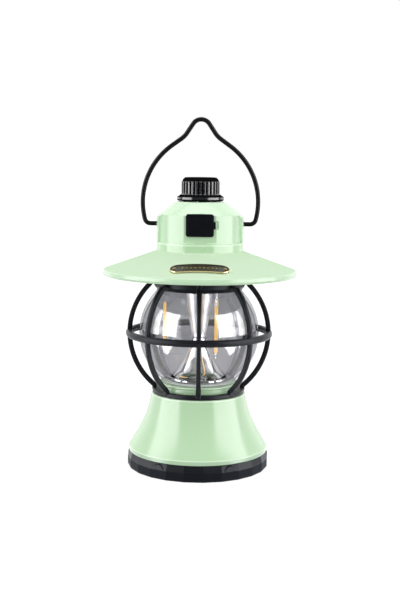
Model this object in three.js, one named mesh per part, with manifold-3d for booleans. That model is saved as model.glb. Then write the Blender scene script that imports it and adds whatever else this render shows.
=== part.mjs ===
// A retro camping lantern: a flared base with a faceted rubber foot, a smoked globe in a ribbed cage with
// LED filaments round a mirrored trumpet, and a brimmed cap with a port, a dimmer knob and a wire bail.
// Millimetres. The origin is the centre of the foot's underside, +Z is up and the charging port faces -Y.
import * as THREE from "three";
import { mergeVertices } from "three/addons/utils/BufferGeometryUtils.js";
import Module from "manifold-3d";

// ---------------------------------------------------------------- driving dimensions
const GAP = 0.3; // clearance between two pieces that rest on each other
const SCREW_SHANK = 1.4;
const SCREW_HOLE = 1.7;
const SCREW_HEAD = 2.6;

const FOOT_RADIUS = 44.9;
const FOOT_HEIGHT = 10;
const FOOT_FACETS = 24;
const FOOT_TURN = -3; // degrees that the foot's facets and lugs are turned from square to the front
const PLATE_FROM = 1.6;
const PLATE_TO = 3.6;
const FOOT_INNER = 38.4;
const FOOT_SHOULDER = 37; // radius of the step that the base plate holds up

const BASE_TOP = 47.2;
const BASE_TOP_RADIUS = 29.8;
const BASE_WALL = 2.2;
const BASE_DECK = 2.5;
const BASE_SCREW_ANGLES = [60, 120, 240, 300];
const BASE_SCREW_CIRCLE = 32.8;

const CELL_RADIUS = 9.15; // an 18650 cell
const CELL_LENGTH = 65.2;
const CELL_HEIGHT = 14.3;

const GLOBE_CENTRE = 85.5;
const GLOBE_RADIUS = 38;
const GLOBE_WALL = 1.8;
const GLOBE_FROM = 55;
const GLOBE_TO = 117.2;

const CAGE_RADIUS = 45.6;
const CAGE_CENTRE = 85.3;
const CAGE_RIB_DEPTH = 3.2;
const CAGE_RIB_WIDTH = 2.8;
const CAGE_RIBS = 8;
const CAGE_BAND_RADIUS = 46.4;
const CAGE_BAND_HEIGHT = 4.2;

const FILAMENT_ANGLES = [60, 180, 300];
const FILAMENT_CIRCLE = 21.8;
const FILAMENT_RADIUS = 1.1;

const TUBE_RADIUS = 2.9;
const TUBE_BORE = 2.2;
const TUBE_HOLE = 3.3;
const NUT_HEIGHT = 2.8;

const BRIM_RADIUS = 61;
const BRIM_EDGE = 122.2;
const BRIM_SLOPE = 0.355; // drop per millimetre of radius
const NECK_RADIUS = 27.3;
const NECK_FLOOR = 137;

const CAP_FLOOR = 142.6;
const CAP_SHOULDER = 160;
const CAP_TOP = 168.3;
const CAP_RADIUS = 26.1;
const CAP_TOP_RADIUS = 15.6;
const CAP_WALL = 2.1;
const CAP_SCREW_ANGLES = [45, 135, 225, 315];
const CAP_SCREW_CIRCLE = 21;
const HEAD_DECK = 119.8;

const PORT_FACE = -24.2; // plane of the flat that the port cover lies on
const PORT_HEIGHT = 154.7;
const PORT_COVER = { left: -7.5, right: 8.3, height: 13.8, thickness: 1.5 };
const PORT_OPENING = { width: 14.2, height: 11.2 };
const COVER_HINGE = { x: -7.7, y: PORT_FACE - 0.1 - PORT_COVER.thickness };

const KNOB_RADIUS = 11.8;
const KNOB_SKIRT = 14.8;
const KNOB_HEIGHT = 15.1;
const KNOB_FLUTES = 28;
const SHAFT_RADIUS = 2.85;

const WIRE_RADIUS = 1.45;
const PIVOT_HEIGHT = 154.4;

// ---------------------------------------------------------------- materials
const material = (color, roughness, metalness = 0) =>
  new THREE.MeshStandardMaterial({ color, roughness, metalness });
const mint = material(0xcdeac6, 0.35);
const blackPlastic = material(0x1c1d20, 0.4);
const blackRubber = material(0x24272b, 0.8);
const blackWire = material(0x141414, 0.3, 0.4);
const chrome = material(0xf2f2f2, 0.05, 1);
const steel = material(0xb9bcc0, 0.3, 1);
const bronze = material(0x6b5a35, 0.35, 1);
const glow = material(0xf0b95a, 0.5);
const silicone = material(0xd5d8da, 0.6);
const board = material(0x2f5d3a, 0.5);
const cellWrap = material(0x3c6ea8, 0.4);
const redSleeve = material(0xb02a24, 0.5);
const smoke = new THREE.MeshStandardMaterial({
  color: 0x9a9b9f,
  roughness: 0.03,
  transparent: true,
  opacity: 0.4,
});

// ---------------------------------------------------------------- solids from three.js geometry
const wasm = await Module();
wasm.setup();

const radians = THREE.MathUtils.degToRad;
const points = (pairs) => pairs.map(([x, y]) => new THREE.Vector2(x, y));

// A closed geometry as a manifold-3d solid, for joining and cutting.
function solidOf(geometry) {
  const bare = geometry.index ? geometry.toNonIndexed() : geometry.clone();
  bare.deleteAttribute("normal");
  bare.deleteAttribute("uv");
  const merged = mergeVertices(bare, 1e-4);
  const index = merged.index.array;
  const corners = [];
  for (let i = 0; i < index.length; i += 3) {
    const [a, b, c] = index.subarray(i, i + 3);
    if (a !== b && b !== c && c !== a) corners.push(a, b, c);
  }
  return new wasm.Manifold(
    new wasm.Mesh({
      numProp: 3,
      vertProperties: merged.attributes.position.array,
      triVerts: new Uint32Array(corners),
    }),
  );
}

function geometryOf(solid) {
  const { vertProperties, triVerts } = solid.getMesh();
  return new THREE.BufferGeometry()
    .setAttribute("position", new THREE.BufferAttribute(vertProperties, 3))
    .setIndex(new THREE.BufferAttribute(triVerts, 1));
}

const join = (solids) => solids.reduce((all, next) => all.add(next));
const cut = (solid, tools) => tools.reduce((left, tool) => left.subtract(tool), solid);

// A closed outline of (radius, height) points turned about +Z.
function revolve(outline, segments, turn = 0) {
  const loop = points(outline);
  const onAxis = loop[0].x === 0 && loop[loop.length - 1].x === 0;
  if (!onAxis) loop.push(loop[0].clone());
  if (THREE.ShapeUtils.area(loop) < 0) loop.reverse();
  return new THREE.LatheGeometry(loop, segments, radians(turn)).rotateX(Math.PI / 2);
}

// Points on an arc of a profile, from one angle to another.
function arc(centreRadius, centreHeight, radius, from, to, steps) {
  return Array.from({ length: steps + 1 }, (_, i) => {
    const angle = radians(from + ((to - from) * i) / steps);
    return [centreRadius + radius * Math.cos(angle), centreHeight + radius * Math.sin(angle)];
  });
}

function bezier(controls, steps) {
  const curve = new THREE.CubicBezierCurve(...points(controls));
  return curve.getPoints(steps).map((p) => [p.x, p.y]);
}

function box(width, depth, height, x = 0, y = 0, z = 0) {
  return new THREE.BoxGeometry(width, depth, height).translate(x, y, z);
}

// An upright cylinder between two heights.
function post(radius, from, to, sides = 12, x = 0, y = 0) {
  return new THREE.CylinderGeometry(radius, radius, to - from, sides)
    .rotateX(Math.PI / 2)
    .translate(x, y, (from + to) / 2);
}

function ring(inner, outer, from, to, segments) {
  return revolve(
    [
      [inner, from],
      [outer, from],
      [outer, to],
      [inner, to],
    ],
    segments,
  );
}

// A solid turned about the axis, closed by flat ends at the outline's first and last heights.
function turnedSolid(outline, segments) {
  const [first, last] = [outline[0], outline[outline.length - 1]];
  return solidOf(revolve([[0, first[1]], ...outline, [0, last[1]]], segments));
}

const roundPlace = (radius, angle) => [
  radius * Math.cos(radians(angle)),
  radius * Math.sin(radians(angle)),
];

const postsOnCircle = (circle, angles, radius, from, to, sides) =>
  angles.map((angle) => solidOf(post(radius, from, to, sides, ...roundPlace(circle, angle))));

// A wire of round section bent along straight runs, in the XZ plane, with a radius at each inner corner.
class BentPath extends THREE.Curve {
  constructor(corners) {
    super();
    this.path = new THREE.Path();
    const at = corners.map(([x, y]) => new THREE.Vector2(x, y));
    this.path.moveTo(at[0].x, at[0].y);
    for (let i = 1; i < at.length - 1; i++) this.bend(at[i - 1], at[i], at[i + 1], corners[i][2]);
    this.path.lineTo(at[at.length - 1].x, at[at.length - 1].y);
  }
  bend(before, corner, after, radius) {
    const back = before.clone().sub(corner).normalize();
    const on = after.clone().sub(corner).normalize();
    const half = Math.acos(THREE.MathUtils.clamp(back.dot(on), -1, 1)) / 2;
    const start = corner.clone().addScaledVector(back, radius / Math.tan(half));
    const middle = back.clone().add(on).normalize();
    const centre = corner.clone().addScaledVector(middle, radius / Math.sin(half));
    const end = corner.clone().addScaledVector(on, radius / Math.tan(half));
    const clockwise = back.cross(on) > 0;
    this.path.lineTo(start.x, start.y);
    this.path.absarc(
      centre.x,
      centre.y,
      radius,
      start.sub(centre).angle(),
      end.sub(centre).angle(),
      clockwise,
    );
  }
  getPoint(t) {
    const at = this.path.getPointAt(t);
    return new THREE.Vector3(at.x, 0, at.y);
  }
}

function regularShape(radius, sides) {
  return new THREE.Shape(points(arc(0, 0, radius, 0, 360, sides).slice(0, sides)));
}

function wire(corners, radius, sides, steps) {
  return new THREE.ExtrudeGeometry(regularShape(radius, sides), {
    steps,
    extrudePath: new BentPath(corners),
  });
}

// A rectangle with rounded corners in the XZ plane, from one Y to another.
function plateXZ(width, height, radius, fromY, toY) {
  const [w, h] = [width / 2 - radius, height / 2 - radius];
  const outline = [
    ...arc(w, h, radius, 0, 90, 3),
    ...arc(-w, h, radius, 90, 180, 3),
    ...arc(-w, -h, radius, 180, 270, 3),
    ...arc(w, -h, radius, 270, 360, 3),
  ];
  return new THREE.ExtrudeGeometry(new THREE.Shape(points(outline)), {
    depth: toY - fromY,
    bevelEnabled: false,
  })
    .rotateX(Math.PI / 2)
    .translate(0, toY, 0);
}

function mesh(name, shape, finish) {
  const geometry = shape.isBufferGeometry ? shape : geometryOf(shape);
  const made = new THREE.Mesh(geometry, finish);
  made.name = name;
  return made;
}

// ---------------------------------------------------------------- foot and base
function footRing() {
  const facetTurn = 180 / FOOT_FACETS; // a flat facet faces the front
  const chamferFrom = 5.9;
  const body = revolve(
    [
      [FOOT_INNER, 0],
      [FOOT_RADIUS - 1.3, 0],
      [FOOT_RADIUS, 1.2],
      [FOOT_RADIUS, chamferFrom],
      [FOOT_RADIUS - 1, FOOT_HEIGHT],
      [FOOT_INNER, FOOT_HEIGHT],
      [FOOT_INNER, PLATE_TO + 3],
      [FOOT_SHOULDER, PLATE_TO + 3],
      [FOOT_SHOULDER, PLATE_TO + GAP],
      [FOOT_INNER, PLATE_TO + GAP],
    ],
    FOOT_FACETS,
    facetTurn,
  );
  const upright = solidOf(
    revolve(
      [
        [FOOT_INNER + 2, 2],
        [FOOT_RADIUS, 2],
        [FOOT_RADIUS, FOOT_HEIGHT],
        [FOOT_INNER + 2, FOOT_HEIGHT],
      ],
      FOOT_FACETS,
      facetTurn,
    ),
  );
  const lugRadius = 3.5;
  const lugs = [30, 90, 150, 210, 270, 330].map((angle) => {
    const peg = new THREE.CylinderGeometry(lugRadius, lugRadius, 12, 12)
      .rotateZ(Math.PI / 2)
      .translate(FOOT_RADIUS - 3, 0, chamferFrom)
      .rotateZ(radians(angle + 30));
    return upright.intersect(solidOf(peg));
  });
  return join([solidOf(body), ...lugs]);
}

function basePlate() {
  const disc = solidOf(post(FOOT_INNER - 0.6, PLATE_FROM, PLATE_TO, 32));
  return cut(disc, [
    ...postsOnCircle(BASE_SCREW_CIRCLE, BASE_SCREW_ANGLES, SCREW_HOLE, 0, 5, 8),
    ...postsOnCircle(BASE_SCREW_CIRCLE, BASE_SCREW_ANGLES, SCREW_HEAD + GAP, 0, PLATE_FROM + 1, 8),
  ]);
}

// A screw with a flat head, pointing up from the head's underside.
function screw(headHeight, length) {
  return revolve(
    [
      [0, 0],
      [SCREW_HEAD, 0],
      [SCREW_HEAD, headHeight],
      [SCREW_SHANK, headHeight],
      [SCREW_SHANK, length - 0.8],
      [0, length],
    ],
    8,
  );
}

function screwsOnCircle(prefix, circle, angles, height, headHeight, length) {
  return angles.map((angle, i) => {
    const made = mesh(`${prefix}_${i + 1}`, screw(headHeight, length), steel);
    made.position.set(...roundPlace(circle, angle), height);
    return made;
  });
}

// The bell curve of the base, from the crease above its rim up to its top edge.
const bellCurve = (inset, steps) =>
  bezier(
    [
      [43.7 - inset, 13.6],
      [38.6 - inset, 22.1],
      [32.3 - inset, 33],
      [BASE_TOP_RADIUS - inset, BASE_TOP - 0.5],
    ],
    steps,
  );

function baseShell() {
  const from = FOOT_HEIGHT + GAP;
  const deck = BASE_TOP - BASE_DECK;
  const bossFrom = PLATE_TO + GAP;
  const outside = [
    [44, from],
    [44.3, 12.8],
    ...bellCurve(0, 7),
    [BASE_TOP_RADIUS - 0.5, BASE_TOP],
  ];
  const inside = bellCurve(BASE_WALL, 5).filter(([, height]) => height < deck - 1);
  const shell = solidOf(
    revolve(
      [
        ...outside,
        [TUBE_HOLE, BASE_TOP],
        [TUBE_HOLE, deck],
        [BASE_TOP_RADIUS - BASE_WALL - 0.6, deck],
        ...inside.reverse(),
        [44 - BASE_WALL, from],
      ],
      32,
    ),
  );
  const envelope = turnedSolid([[41, bossFrom], [41, 12], ...outside.slice(2)], 32);
  const bosses = postsOnCircle(BASE_SCREW_CIRCLE, BASE_SCREW_ANGLES, 3.2, bossFrom, 30, 10);
  const holes = postsOnCircle(BASE_SCREW_CIRCLE, BASE_SCREW_ANGLES, SCREW_HOLE, bossFrom - 1, 14, 8);
  return cut(join([shell, ...bosses.map((boss) => boss.intersect(envelope))]), holes);
}

function batteryCell() {
  const nub = 2.8;
  return revolve(
    [
      [0, 0],
      [CELL_RADIUS - 0.6, 0],
      [CELL_RADIUS, 0.6],
      [CELL_RADIUS, CELL_LENGTH - 1.6],
      [CELL_RADIUS - 0.6, CELL_LENGTH - 1],
      [nub, CELL_LENGTH - 1],
      [nub, CELL_LENGTH],
      [0, CELL_LENGTH],
    ],
    16,
  );
}

function batteryCells() {
  return [-1, 1].map((side, i) => {
    const cell = mesh(`battery_cell_${i + 1}`, batteryCell(), cellWrap);
    cell.rotation.y = (side * Math.PI) / 2;
    cell.position.set((-side * CELL_LENGTH) / 2, side * (CELL_RADIUS + 0.35), CELL_HEIGHT);
    return cell;
  });
}

function batteryCradle() {
  const floor = PLATE_TO + GAP;
  const wall = { thickness: 1, width: 20, height: 12 };
  const end = CELL_LENGTH / 2 + GAP + wall.thickness / 2;
  return join([
    solidOf(box(CELL_LENGTH + 2, 24, 0.9, 0, 0, floor + 0.45)),
    ...[-end, end].map((x) =>
      solidOf(box(wall.thickness, wall.width, wall.height, x, 0, floor + wall.height / 2)),
    ),
  ]);
}

function hexNut(radius, bore, height) {
  const shape = regularShape(radius, 6);
  shape.holes.push(new THREE.Path(regularShape(bore, 12).getPoints()));
  return new THREE.ExtrudeGeometry(shape, { depth: height, bevelEnabled: false });
}

const tubeNut = () => hexNut(5.4, TUBE_RADIUS + 0.25, NUT_HEIGHT);

function buildBase() {
  const group = new THREE.Group();
  const chargeBoard = mesh("charge_board", box(40, 22, 1.6), board);
  chargeBoard.position.z = CELL_HEIGHT + CELL_RADIUS + 1.1;
  const lowerNut = mesh("tube_nut_lower", tubeNut(), steel);
  lowerNut.position.z = BASE_TOP - BASE_DECK - GAP - NUT_HEIGHT;
  const foot = mesh("foot_ring", footRing(), blackRubber);
  foot.rotation.z = radians(FOOT_TURN);
  group.add(
    foot,
    mesh("base_plate", basePlate(), blackPlastic),
    mesh("base_shell", baseShell(), mint),
    mesh("battery_cradle", batteryCradle(), blackPlastic),
    chargeBoard,
    lowerNut,
    ...batteryCells(),
    ...screwsOnCircle("base_screw", BASE_SCREW_CIRCLE, BASE_SCREW_ANGLES, 0.9, 1.4, 11),
  );
  return group;
}

// ---------------------------------------------------------------- globe, cage and light
function globeSeat() {
  const from = BASE_TOP + GAP;
  return revolve(
    [
      [TUBE_HOLE, from],
      [24.6, from],
      [24.6, GLOBE_FROM - 0.8],
      [24, GLOBE_FROM],
      [23.2, GLOBE_FROM],
      [23.2, GLOBE_FROM - 1],
      [19.6, GLOBE_FROM - 1],
      [19.4, GLOBE_FROM - 1.6],
      [TUBE_HOLE, GLOBE_FROM - 1.6],
    ],
    32,
  );
}

function globe() {
  const inner = GLOBE_RADIUS - GLOBE_WALL;
  const angleAt = (height, radius) =>
    THREE.MathUtils.radToDeg(Math.asin((height - GLOBE_CENTRE) / radius));
  const face = (radius, from, to, steps) =>
    arc(0, GLOBE_CENTRE, radius, angleAt(from, radius), angleAt(to, radius), steps);
  return revolve(
    [...face(GLOBE_RADIUS, GLOBE_FROM, GLOBE_TO, 9), ...face(inner, GLOBE_TO, GLOBE_FROM, 7)],
    28,
  );
}

// One rib's outline in (radius, height), from the equator to the end ring, above or below it by side.
function ribOutline(side, endHeight, endInner) {
  const inner = CAGE_RADIUS - CAGE_RIB_DEPTH;
  const rise = Math.abs(endHeight - CAGE_CENTRE);
  const outerEnd = THREE.MathUtils.radToDeg(Math.asin(rise / CAGE_RADIUS));
  const innerEnd = THREE.MathUtils.radToDeg(Math.acos(endInner / inner));
  return [
    ...arc(0, 0, CAGE_RADIUS, 1, outerEnd, 6),
    [endInner, rise],
    ...arc(0, 0, inner, innerEnd, 1, 6),
  ].map(([radius, height]) => [radius, CAGE_CENTRE + side * height]);
}

function cageHalf(side, endRing) {
  const rib = new THREE.ExtrudeGeometry(
    new THREE.Shape(points(ribOutline(side, endRing.meets, endRing.inner + 0.2))),
    { depth: CAGE_RIB_WIDTH, bevelEnabled: false },
  )
    .translate(0, 0, -CAGE_RIB_WIDTH / 2)
    .rotateX(Math.PI / 2);
  const ribs = Array.from({ length: CAGE_RIBS }, (_, i) =>
    solidOf(rib.clone().rotateZ((i * 2 * Math.PI) / CAGE_RIBS)),
  );
  const seam = CAGE_CENTRE + side * 0.12;
  const edge = CAGE_CENTRE + (side * CAGE_BAND_HEIGHT) / 2;
  const band = revolve(
    [
      [CAGE_BAND_RADIUS - 3.8, seam],
      [CAGE_BAND_RADIUS, seam],
      [CAGE_BAND_RADIUS, edge - side * 0.8],
      [CAGE_BAND_RADIUS - 0.8, edge],
      [CAGE_BAND_RADIUS - 3.8, edge],
    ],
    40,
  );
  const end = ring(endRing.inner, endRing.outer, endRing.from, endRing.to, 32);
  return join([solidOf(band), solidOf(end), ...ribs]);
}

const LOWER_CAGE_RING = { inner: 25.1, outer: 28.9, from: BASE_TOP + GAP, to: 50.2, meets: 49.6 };
const UPPER_CAGE_RING = { inner: 29, outer: 31, from: 119.2, to: 121, meets: 119.8 };
const COLLAR_RADIUS = 28.7; // the lamp head's black collar, just inside the upper cage ring

function reflectorLower() {
  const waist = 82.4;
  return revolve(
    [
      ...bezier([[4.2, waist], [6.5, 76], [8, 64], [19.2, 56.4]], 7),
      [19.2, 53.7],
      [18.2, 53.7],
      ...bezier([[18.2, 55.6], [7, 63], [5.4, 75.5], [3.3, waist]], 4),
    ],
    16,
  );
}

function reflectorUpper() {
  const waist = 82.7;
  return revolve(
    [
      ...bezier([[4.2, waist], [5.2, 100], [6, 112], [15.4, 117.2]], 7),
      [15.4, 118.2],
      [14.4, 118.2],
      ...bezier([[14.4, 117.4], [5, 112.5], [4.2, 100], [3.3, waist]], 4),
    ],
    16,
  );
}

// One filament with its flat end tabs, upright on the X axis side of its circle.
function filament() {
  const lit = post(FILAMENT_RADIUS, 75.2, 104.6, 8);
  const [tabFrom, tabTo] = [73.4, 110.6];
  const tab = box(0.5, 2 * FILAMENT_RADIUS, tabTo - tabFrom, 0, 0, (tabFrom + tabTo) / 2);
  return solidOf(lit).add(solidOf(tab)).translate(FILAMENT_CIRCLE, 0, 0);
}

// The stiff wire from a filament's top tab in to the board above.
const hanger = () =>
  wire([[FILAMENT_CIRCLE, 110.8], [21, 113.4, 2], [16.9, 116.4, 1], [16.9, 118.3]], 0.4, 6, 9);

// The wire from a filament's bottom tab in to the lower trumpet.
const returnLead = () =>
  wire([[FILAMENT_CIRCLE, 73.2], [FILAMENT_CIRCLE, 71.4, 1], [8.6, 71.4]], 0.4, 6, 7);

function lampHead() {
  const body = revolve(
    [
      [24.8, 115.2],
      [26.3, 113.3],
      [26.9, 113.3],
      [COLLAR_RADIUS, 115.9],
      [COLLAR_RADIUS, UPPER_CAGE_RING.to + GAP],
      [32.4, UPPER_CAGE_RING.to + GAP],
      [32.4, 123.5],
      [26, 123.5],
      [26, NECK_FLOOR - GAP],
      [23.8, NECK_FLOOR - GAP],
      [23.8, HEAD_DECK + 2.2],
      [TUBE_HOLE, HEAD_DECK + 2.2],
      [TUBE_HOLE, HEAD_DECK],
      [24.8, HEAD_DECK],
    ],
    32,
  );
  const top = NECK_FLOOR - GAP;
  const onScrews = (radius, from, to, sides) =>
    postsOnCircle(CAP_SCREW_CIRCLE, CAP_SCREW_ANGLES, radius, from, to, sides);
  return cut(join([solidOf(body), ...onScrews(3.3, HEAD_DECK + 1, top, 10)]), [
    ...onScrews(SCREW_HOLE, HEAD_DECK - 1, top + 1, 8),
    ...onScrews(SCREW_HEAD + GAP, HEAD_DECK - 1, HEAD_DECK + 2, 8),
  ]);
}

function buildLight() {
  const group = new THREE.Group();
  const upperNut = mesh("tube_nut_upper", tubeNut(), steel);
  upperNut.position.z = HEAD_DECK + 2.2 + GAP;
  group.add(
    mesh("globe_seat", globeSeat(), mint),
    mesh("globe_gasket_lower", ring(19.9, 22.9, GLOBE_FROM - 0.9, GLOBE_FROM - 0.1, 24), silicone),
    mesh("globe_gasket_upper", ring(17.7, 20.9, GLOBE_TO + 0.1, GLOBE_TO + 1.1, 24), silicone),
    mesh("globe", globe(), smoke),
    mesh("cage_lower", cageHalf(-1, LOWER_CAGE_RING), blackPlastic),
    mesh("cage_upper", cageHalf(1, UPPER_CAGE_RING), blackPlastic),
    mesh("reflector_lower", reflectorLower(), chrome),
    mesh("reflector_upper", reflectorUpper(), chrome),
    mesh("centre_tube", ring(TUBE_BORE, TUBE_RADIUS, 41, 126, 12), steel),
    mesh("filament_board", ring(TUBE_HOLE, 22.6, GLOBE_TO + 1.3, HEAD_DECK - 0.2, 24), board),
    mesh("lamp_head", lampHead(), blackPlastic),
    upperNut,
  );
  FILAMENT_ANGLES.forEach((angle, i) => {
    const arm = new THREE.Group();
    arm.rotation.z = radians(angle);
    arm.add(
      mesh(`led_filament_${i + 1}`, filament(), glow),
      mesh(`filament_hanger_${i + 1}`, hanger(), steel),
      mesh(`filament_return_${i + 1}`, returnLead(), steel),
    );
    group.add(arm);
  });
  return group;
}

// ---------------------------------------------------------------- brim and name plate
const CONE_TOP = { radius: 30.4, height: 136.2 };
const coneHeight = (radius) => CONE_TOP.height - BRIM_SLOPE * (radius - CONE_TOP.radius);
const PLATE_CENTRE = 47;
const PLATE_PIN_X = 15;

// A short cylinder square to the cone's face, at the name plate's pin places.
function pinTool(side, radius, from, to, sides) {
  const distance = Math.hypot(PLATE_PIN_X, PLATE_CENTRE);
  const heading = Math.atan2(-PLATE_CENTRE, side * PLATE_PIN_X);
  return post(radius, from, to, sides)
    .rotateY(Math.atan(BRIM_SLOPE))
    .translate(distance, 0, coneHeight(distance))
    .rotateZ(heading);
}

function shadeBrim() {
  const skin = 2;
  const body = revolve(
    [
      [15.5, NECK_FLOOR],
      [26.3, NECK_FLOOR],
      [26.3, coneHeight(26.3) - skin],
      [58.4, coneHeight(58.4) - skin],
      [58.8, BRIM_EDGE + 0.2],
      [60.3, BRIM_EDGE],
      [BRIM_RADIUS, BRIM_EDGE + 0.9],
      ...arc(BRIM_RADIUS - 1.9, 124.2, 1.9, 0, 70, 3),
      [CONE_TOP.radius, CONE_TOP.height],
      ...arc(29.6, 138.6, 2.6, 230, 180, 2),
      [NECK_RADIUS, CAP_FLOOR - GAP - 0.4],
      [NECK_RADIUS - 0.3, CAP_FLOOR - GAP],
      [25, CAP_FLOOR - GAP],
      [25, NECK_FLOOR + 2],
      [15.5, NECK_FLOOR + 2],
    ],
    40,
  );
  return cut(solidOf(body), [
    ...postsOnCircle(CAP_SCREW_CIRCLE, CAP_SCREW_ANGLES, SCREW_HOLE, NECK_FLOOR - 1, NECK_FLOOR + 3, 8),
    ...[-1, 1].map((side) => solidOf(pinTool(side, 0.95, -4, 4, 8))),
  ]);
}

// The name plate: a round-ended bar bent to lie on the cone.
function namePlate() {
  const [length, width, lift, thickness] = [35, 9.2, 0.3, 1];
  const shell = solidOf(
    revolve(
      [
        [36, coneHeight(36) + lift],
        [57, coneHeight(57) + lift],
        [57, coneHeight(57) + lift + thickness],
        [36, coneHeight(36) + lift + thickness],
      ],
      40,
    ),
  );
  const reach = length / 2 - width / 2;
  const outline = [
    ...arc(reach, 0, width / 2, -90, 90, 6),
    ...arc(-reach, 0, width / 2, 90, 270, 6),
  ];
  const prism = new THREE.ExtrudeGeometry(new THREE.Shape(points(outline)), {
    depth: 30,
    bevelEnabled: false,
  }).translate(0, -PLATE_CENTRE, 115);
  const bar = shell.intersect(solidOf(prism));
  return cut(bar, [-1, 1].map((side) => solidOf(pinTool(side, 0.95, -4, 4, 8))));
}

function platePin(side) {
  const head = solidOf(pinTool(side, 1.3, 1.6, 2.1, 8));
  return head.add(solidOf(pinTool(side, 0.6, -2.6, 1.7, 8)));
}

function buildBrim() {
  const group = new THREE.Group();
  group.add(
    mesh("shade_brim", shadeBrim(), mint),
    mesh("name_plate", namePlate(), bronze),
    mesh("plate_pin_1", platePin(-1), bronze),
    mesh("plate_pin_2", platePin(1), bronze),
    ...screwsOnCircle("head_screw", CAP_SCREW_CIRCLE, CAP_SCREW_ANGLES, HEAD_DECK + 0.1, 1.6, 29),
  );
  return group;
}

// ---------------------------------------------------------------- cap, port and electronics
// The flats on both sides where the bail's ends go through.
function sidePads() {
  const inner = 23;
  const turned = revolve(
    [
      [inner, CAP_FLOOR],
      [NECK_RADIUS, CAP_FLOOR],
      [NECK_RADIUS, CAP_SHOULDER - 1.1],
      [CAP_RADIUS, CAP_SHOULDER],
      [inner, CAP_SHOULDER],
    ],
    48,
  );
  return solidOf(turned).intersect(solidOf(box(70, 20.4, 60, 0, 0, 150)));
}

// The flat front window, the finger notch beside the cover, the opening and the anchor's hole.
function portCuts() {
  const openingShape = plateXZ(PORT_OPENING.width, PORT_OPENING.height, 1, -30, -15);
  const anchorX = PORT_COVER.left - 0.8;
  return [
    solidOf(box(19.8, 10, 18.7, 0, PORT_FACE - 5, 153.45)),
    solidOf(box(3.4, 4, 4.9, 9.3, PORT_FACE - 1.2, PORT_HEIGHT)),
    solidOf(openingShape.translate(0, 0, PORT_HEIGHT)),
    solidOf(new THREE.CylinderGeometry(0.6, 0.6, 10, 8).translate(anchorX, PORT_FACE, PORT_HEIGHT)),
  ];
}

function capHousing() {
  const topWall = 2;
  const inner = CAP_RADIUS - CAP_WALL;
  const outside = turnedSolid(
    [
      [CAP_RADIUS, CAP_FLOOR],
      [CAP_RADIUS, CAP_SHOULDER],
      [CAP_TOP_RADIUS, CAP_TOP],
    ],
    36,
  );
  const hollow = turnedSolid(
    [
      [inner, CAP_FLOOR - 1],
      [inner, CAP_SHOULDER - 0.7],
      [CAP_TOP_RADIUS - 0.7, CAP_TOP - topWall],
    ],
    36,
  );
  const frontWall = solidOf(box(60, 12, 40, 0, PORT_FACE + 2.6 - 6, PORT_HEIGHT));
  const bossFrom = NECK_FLOOR + 2 + GAP;
  const bosses = postsOnCircle(CAP_SCREW_CIRCLE, CAP_SCREW_ANGLES, 3.4, bossFrom, 152, 10);
  const shell = outside.subtract(hollow.subtract(frontWall)).add(sidePads().subtract(hollow));
  const pivotHole = new THREE.CylinderGeometry(WIRE_RADIUS + 0.25, WIRE_RADIUS + 0.25, 70, 16)
    .rotateZ(Math.PI / 2)
    .translate(0, 0, PIVOT_HEIGHT);
  return cut(join([shell, ...bosses]), [
    ...portCuts(),
    solidOf(pivotHole),
    solidOf(post(3.8, 160, 170, 12)),
    ...postsOnCircle(CAP_SCREW_CIRCLE, CAP_SCREW_ANGLES, SCREW_HOLE, bossFrom - 1, 150, 8),
  ]);
}

// The fixed root of the port cover's rubber strap, with its peg through the housing.
function coverAnchor() {
  const x = PORT_COVER.left - 0.8;
  const y = COVER_HINGE.y + PORT_COVER.thickness / 2;
  const strip = box(0.8, PORT_COVER.thickness, 9, x, y, PORT_HEIGHT);
  const peg = new THREE.CylinderGeometry(0.35, 0.35, 2.6, 8).translate(x, PORT_FACE + 1, PORT_HEIGHT);
  return solidOf(strip).add(solidOf(peg));
}

// A metal socket shell with a blind mouth facing -Y.
function socket(width, height, depth) {
  const wall = 0.4;
  const body = solidOf(plateXZ(width, height, Math.min(1, height / 3), 0, depth));
  const mouth = solidOf(plateXZ(width - 2 * wall, height - 2 * wall, 0.5, -1, depth - 2));
  const tongue = solidOf(box(width * 0.7, depth - 2, 0.8, 0, depth / 2 + 0.5, 0));
  return body.subtract(mouth).add(tongue);
}

function dimmerBody() {
  const under = CAP_TOP - 2 - GAP;
  return revolve(
    [
      [0, under - 8.4],
      [8, under - 8.4],
      [8, under],
      [3.5, under],
      [3.5, CAP_TOP + 3],
      [SHAFT_RADIUS + 0.2, CAP_TOP + 3],
      [SHAFT_RADIUS + 0.2, under - 1],
      [0, under - 1],
    ],
    16,
  );
}

const cable = (side) =>
  wire([[side * 0.95, CELL_HEIGHT + CELL_RADIUS + 2.2], [side * 0.95, CAP_FLOOR + 3]], 0.7, 6, 3);

function buildCap() {
  const group = new THREE.Group();
  const place = (made, x, y, z) => {
    made.position.set(x, y, z);
    return made;
  };
  group.add(
    mesh("cap_housing", capHousing(), mint),
    mesh("cover_anchor", coverAnchor(), blackRubber),
    mesh("driver_board", post(15.5, 146, 147.6, 20), board),
    place(mesh("port_board", box(17, 14.2, 1.2), board), 0, PORT_FACE + 10.2, 153.8),
    place(mesh("usb_a_socket", socket(13.2, 5.6, 13.4), steel), 0, PORT_FACE + 1.5, 157.4),
    place(mesh("usb_c_socket", socket(8.9, 3.1, 7.4), steel), 0, PORT_FACE + 1.5, 151.5),
    mesh("dimmer_body", dimmerBody(), steel),
    place(mesh("dimmer_nut", hexNut(5.6, 3.7, 1.8), steel), 0, 0, CAP_TOP + 0.1),
    mesh("cable_red", cable(-1), redSleeve),
    mesh("cable_black", cable(1), blackRubber),
  );
  return group;
}

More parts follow.
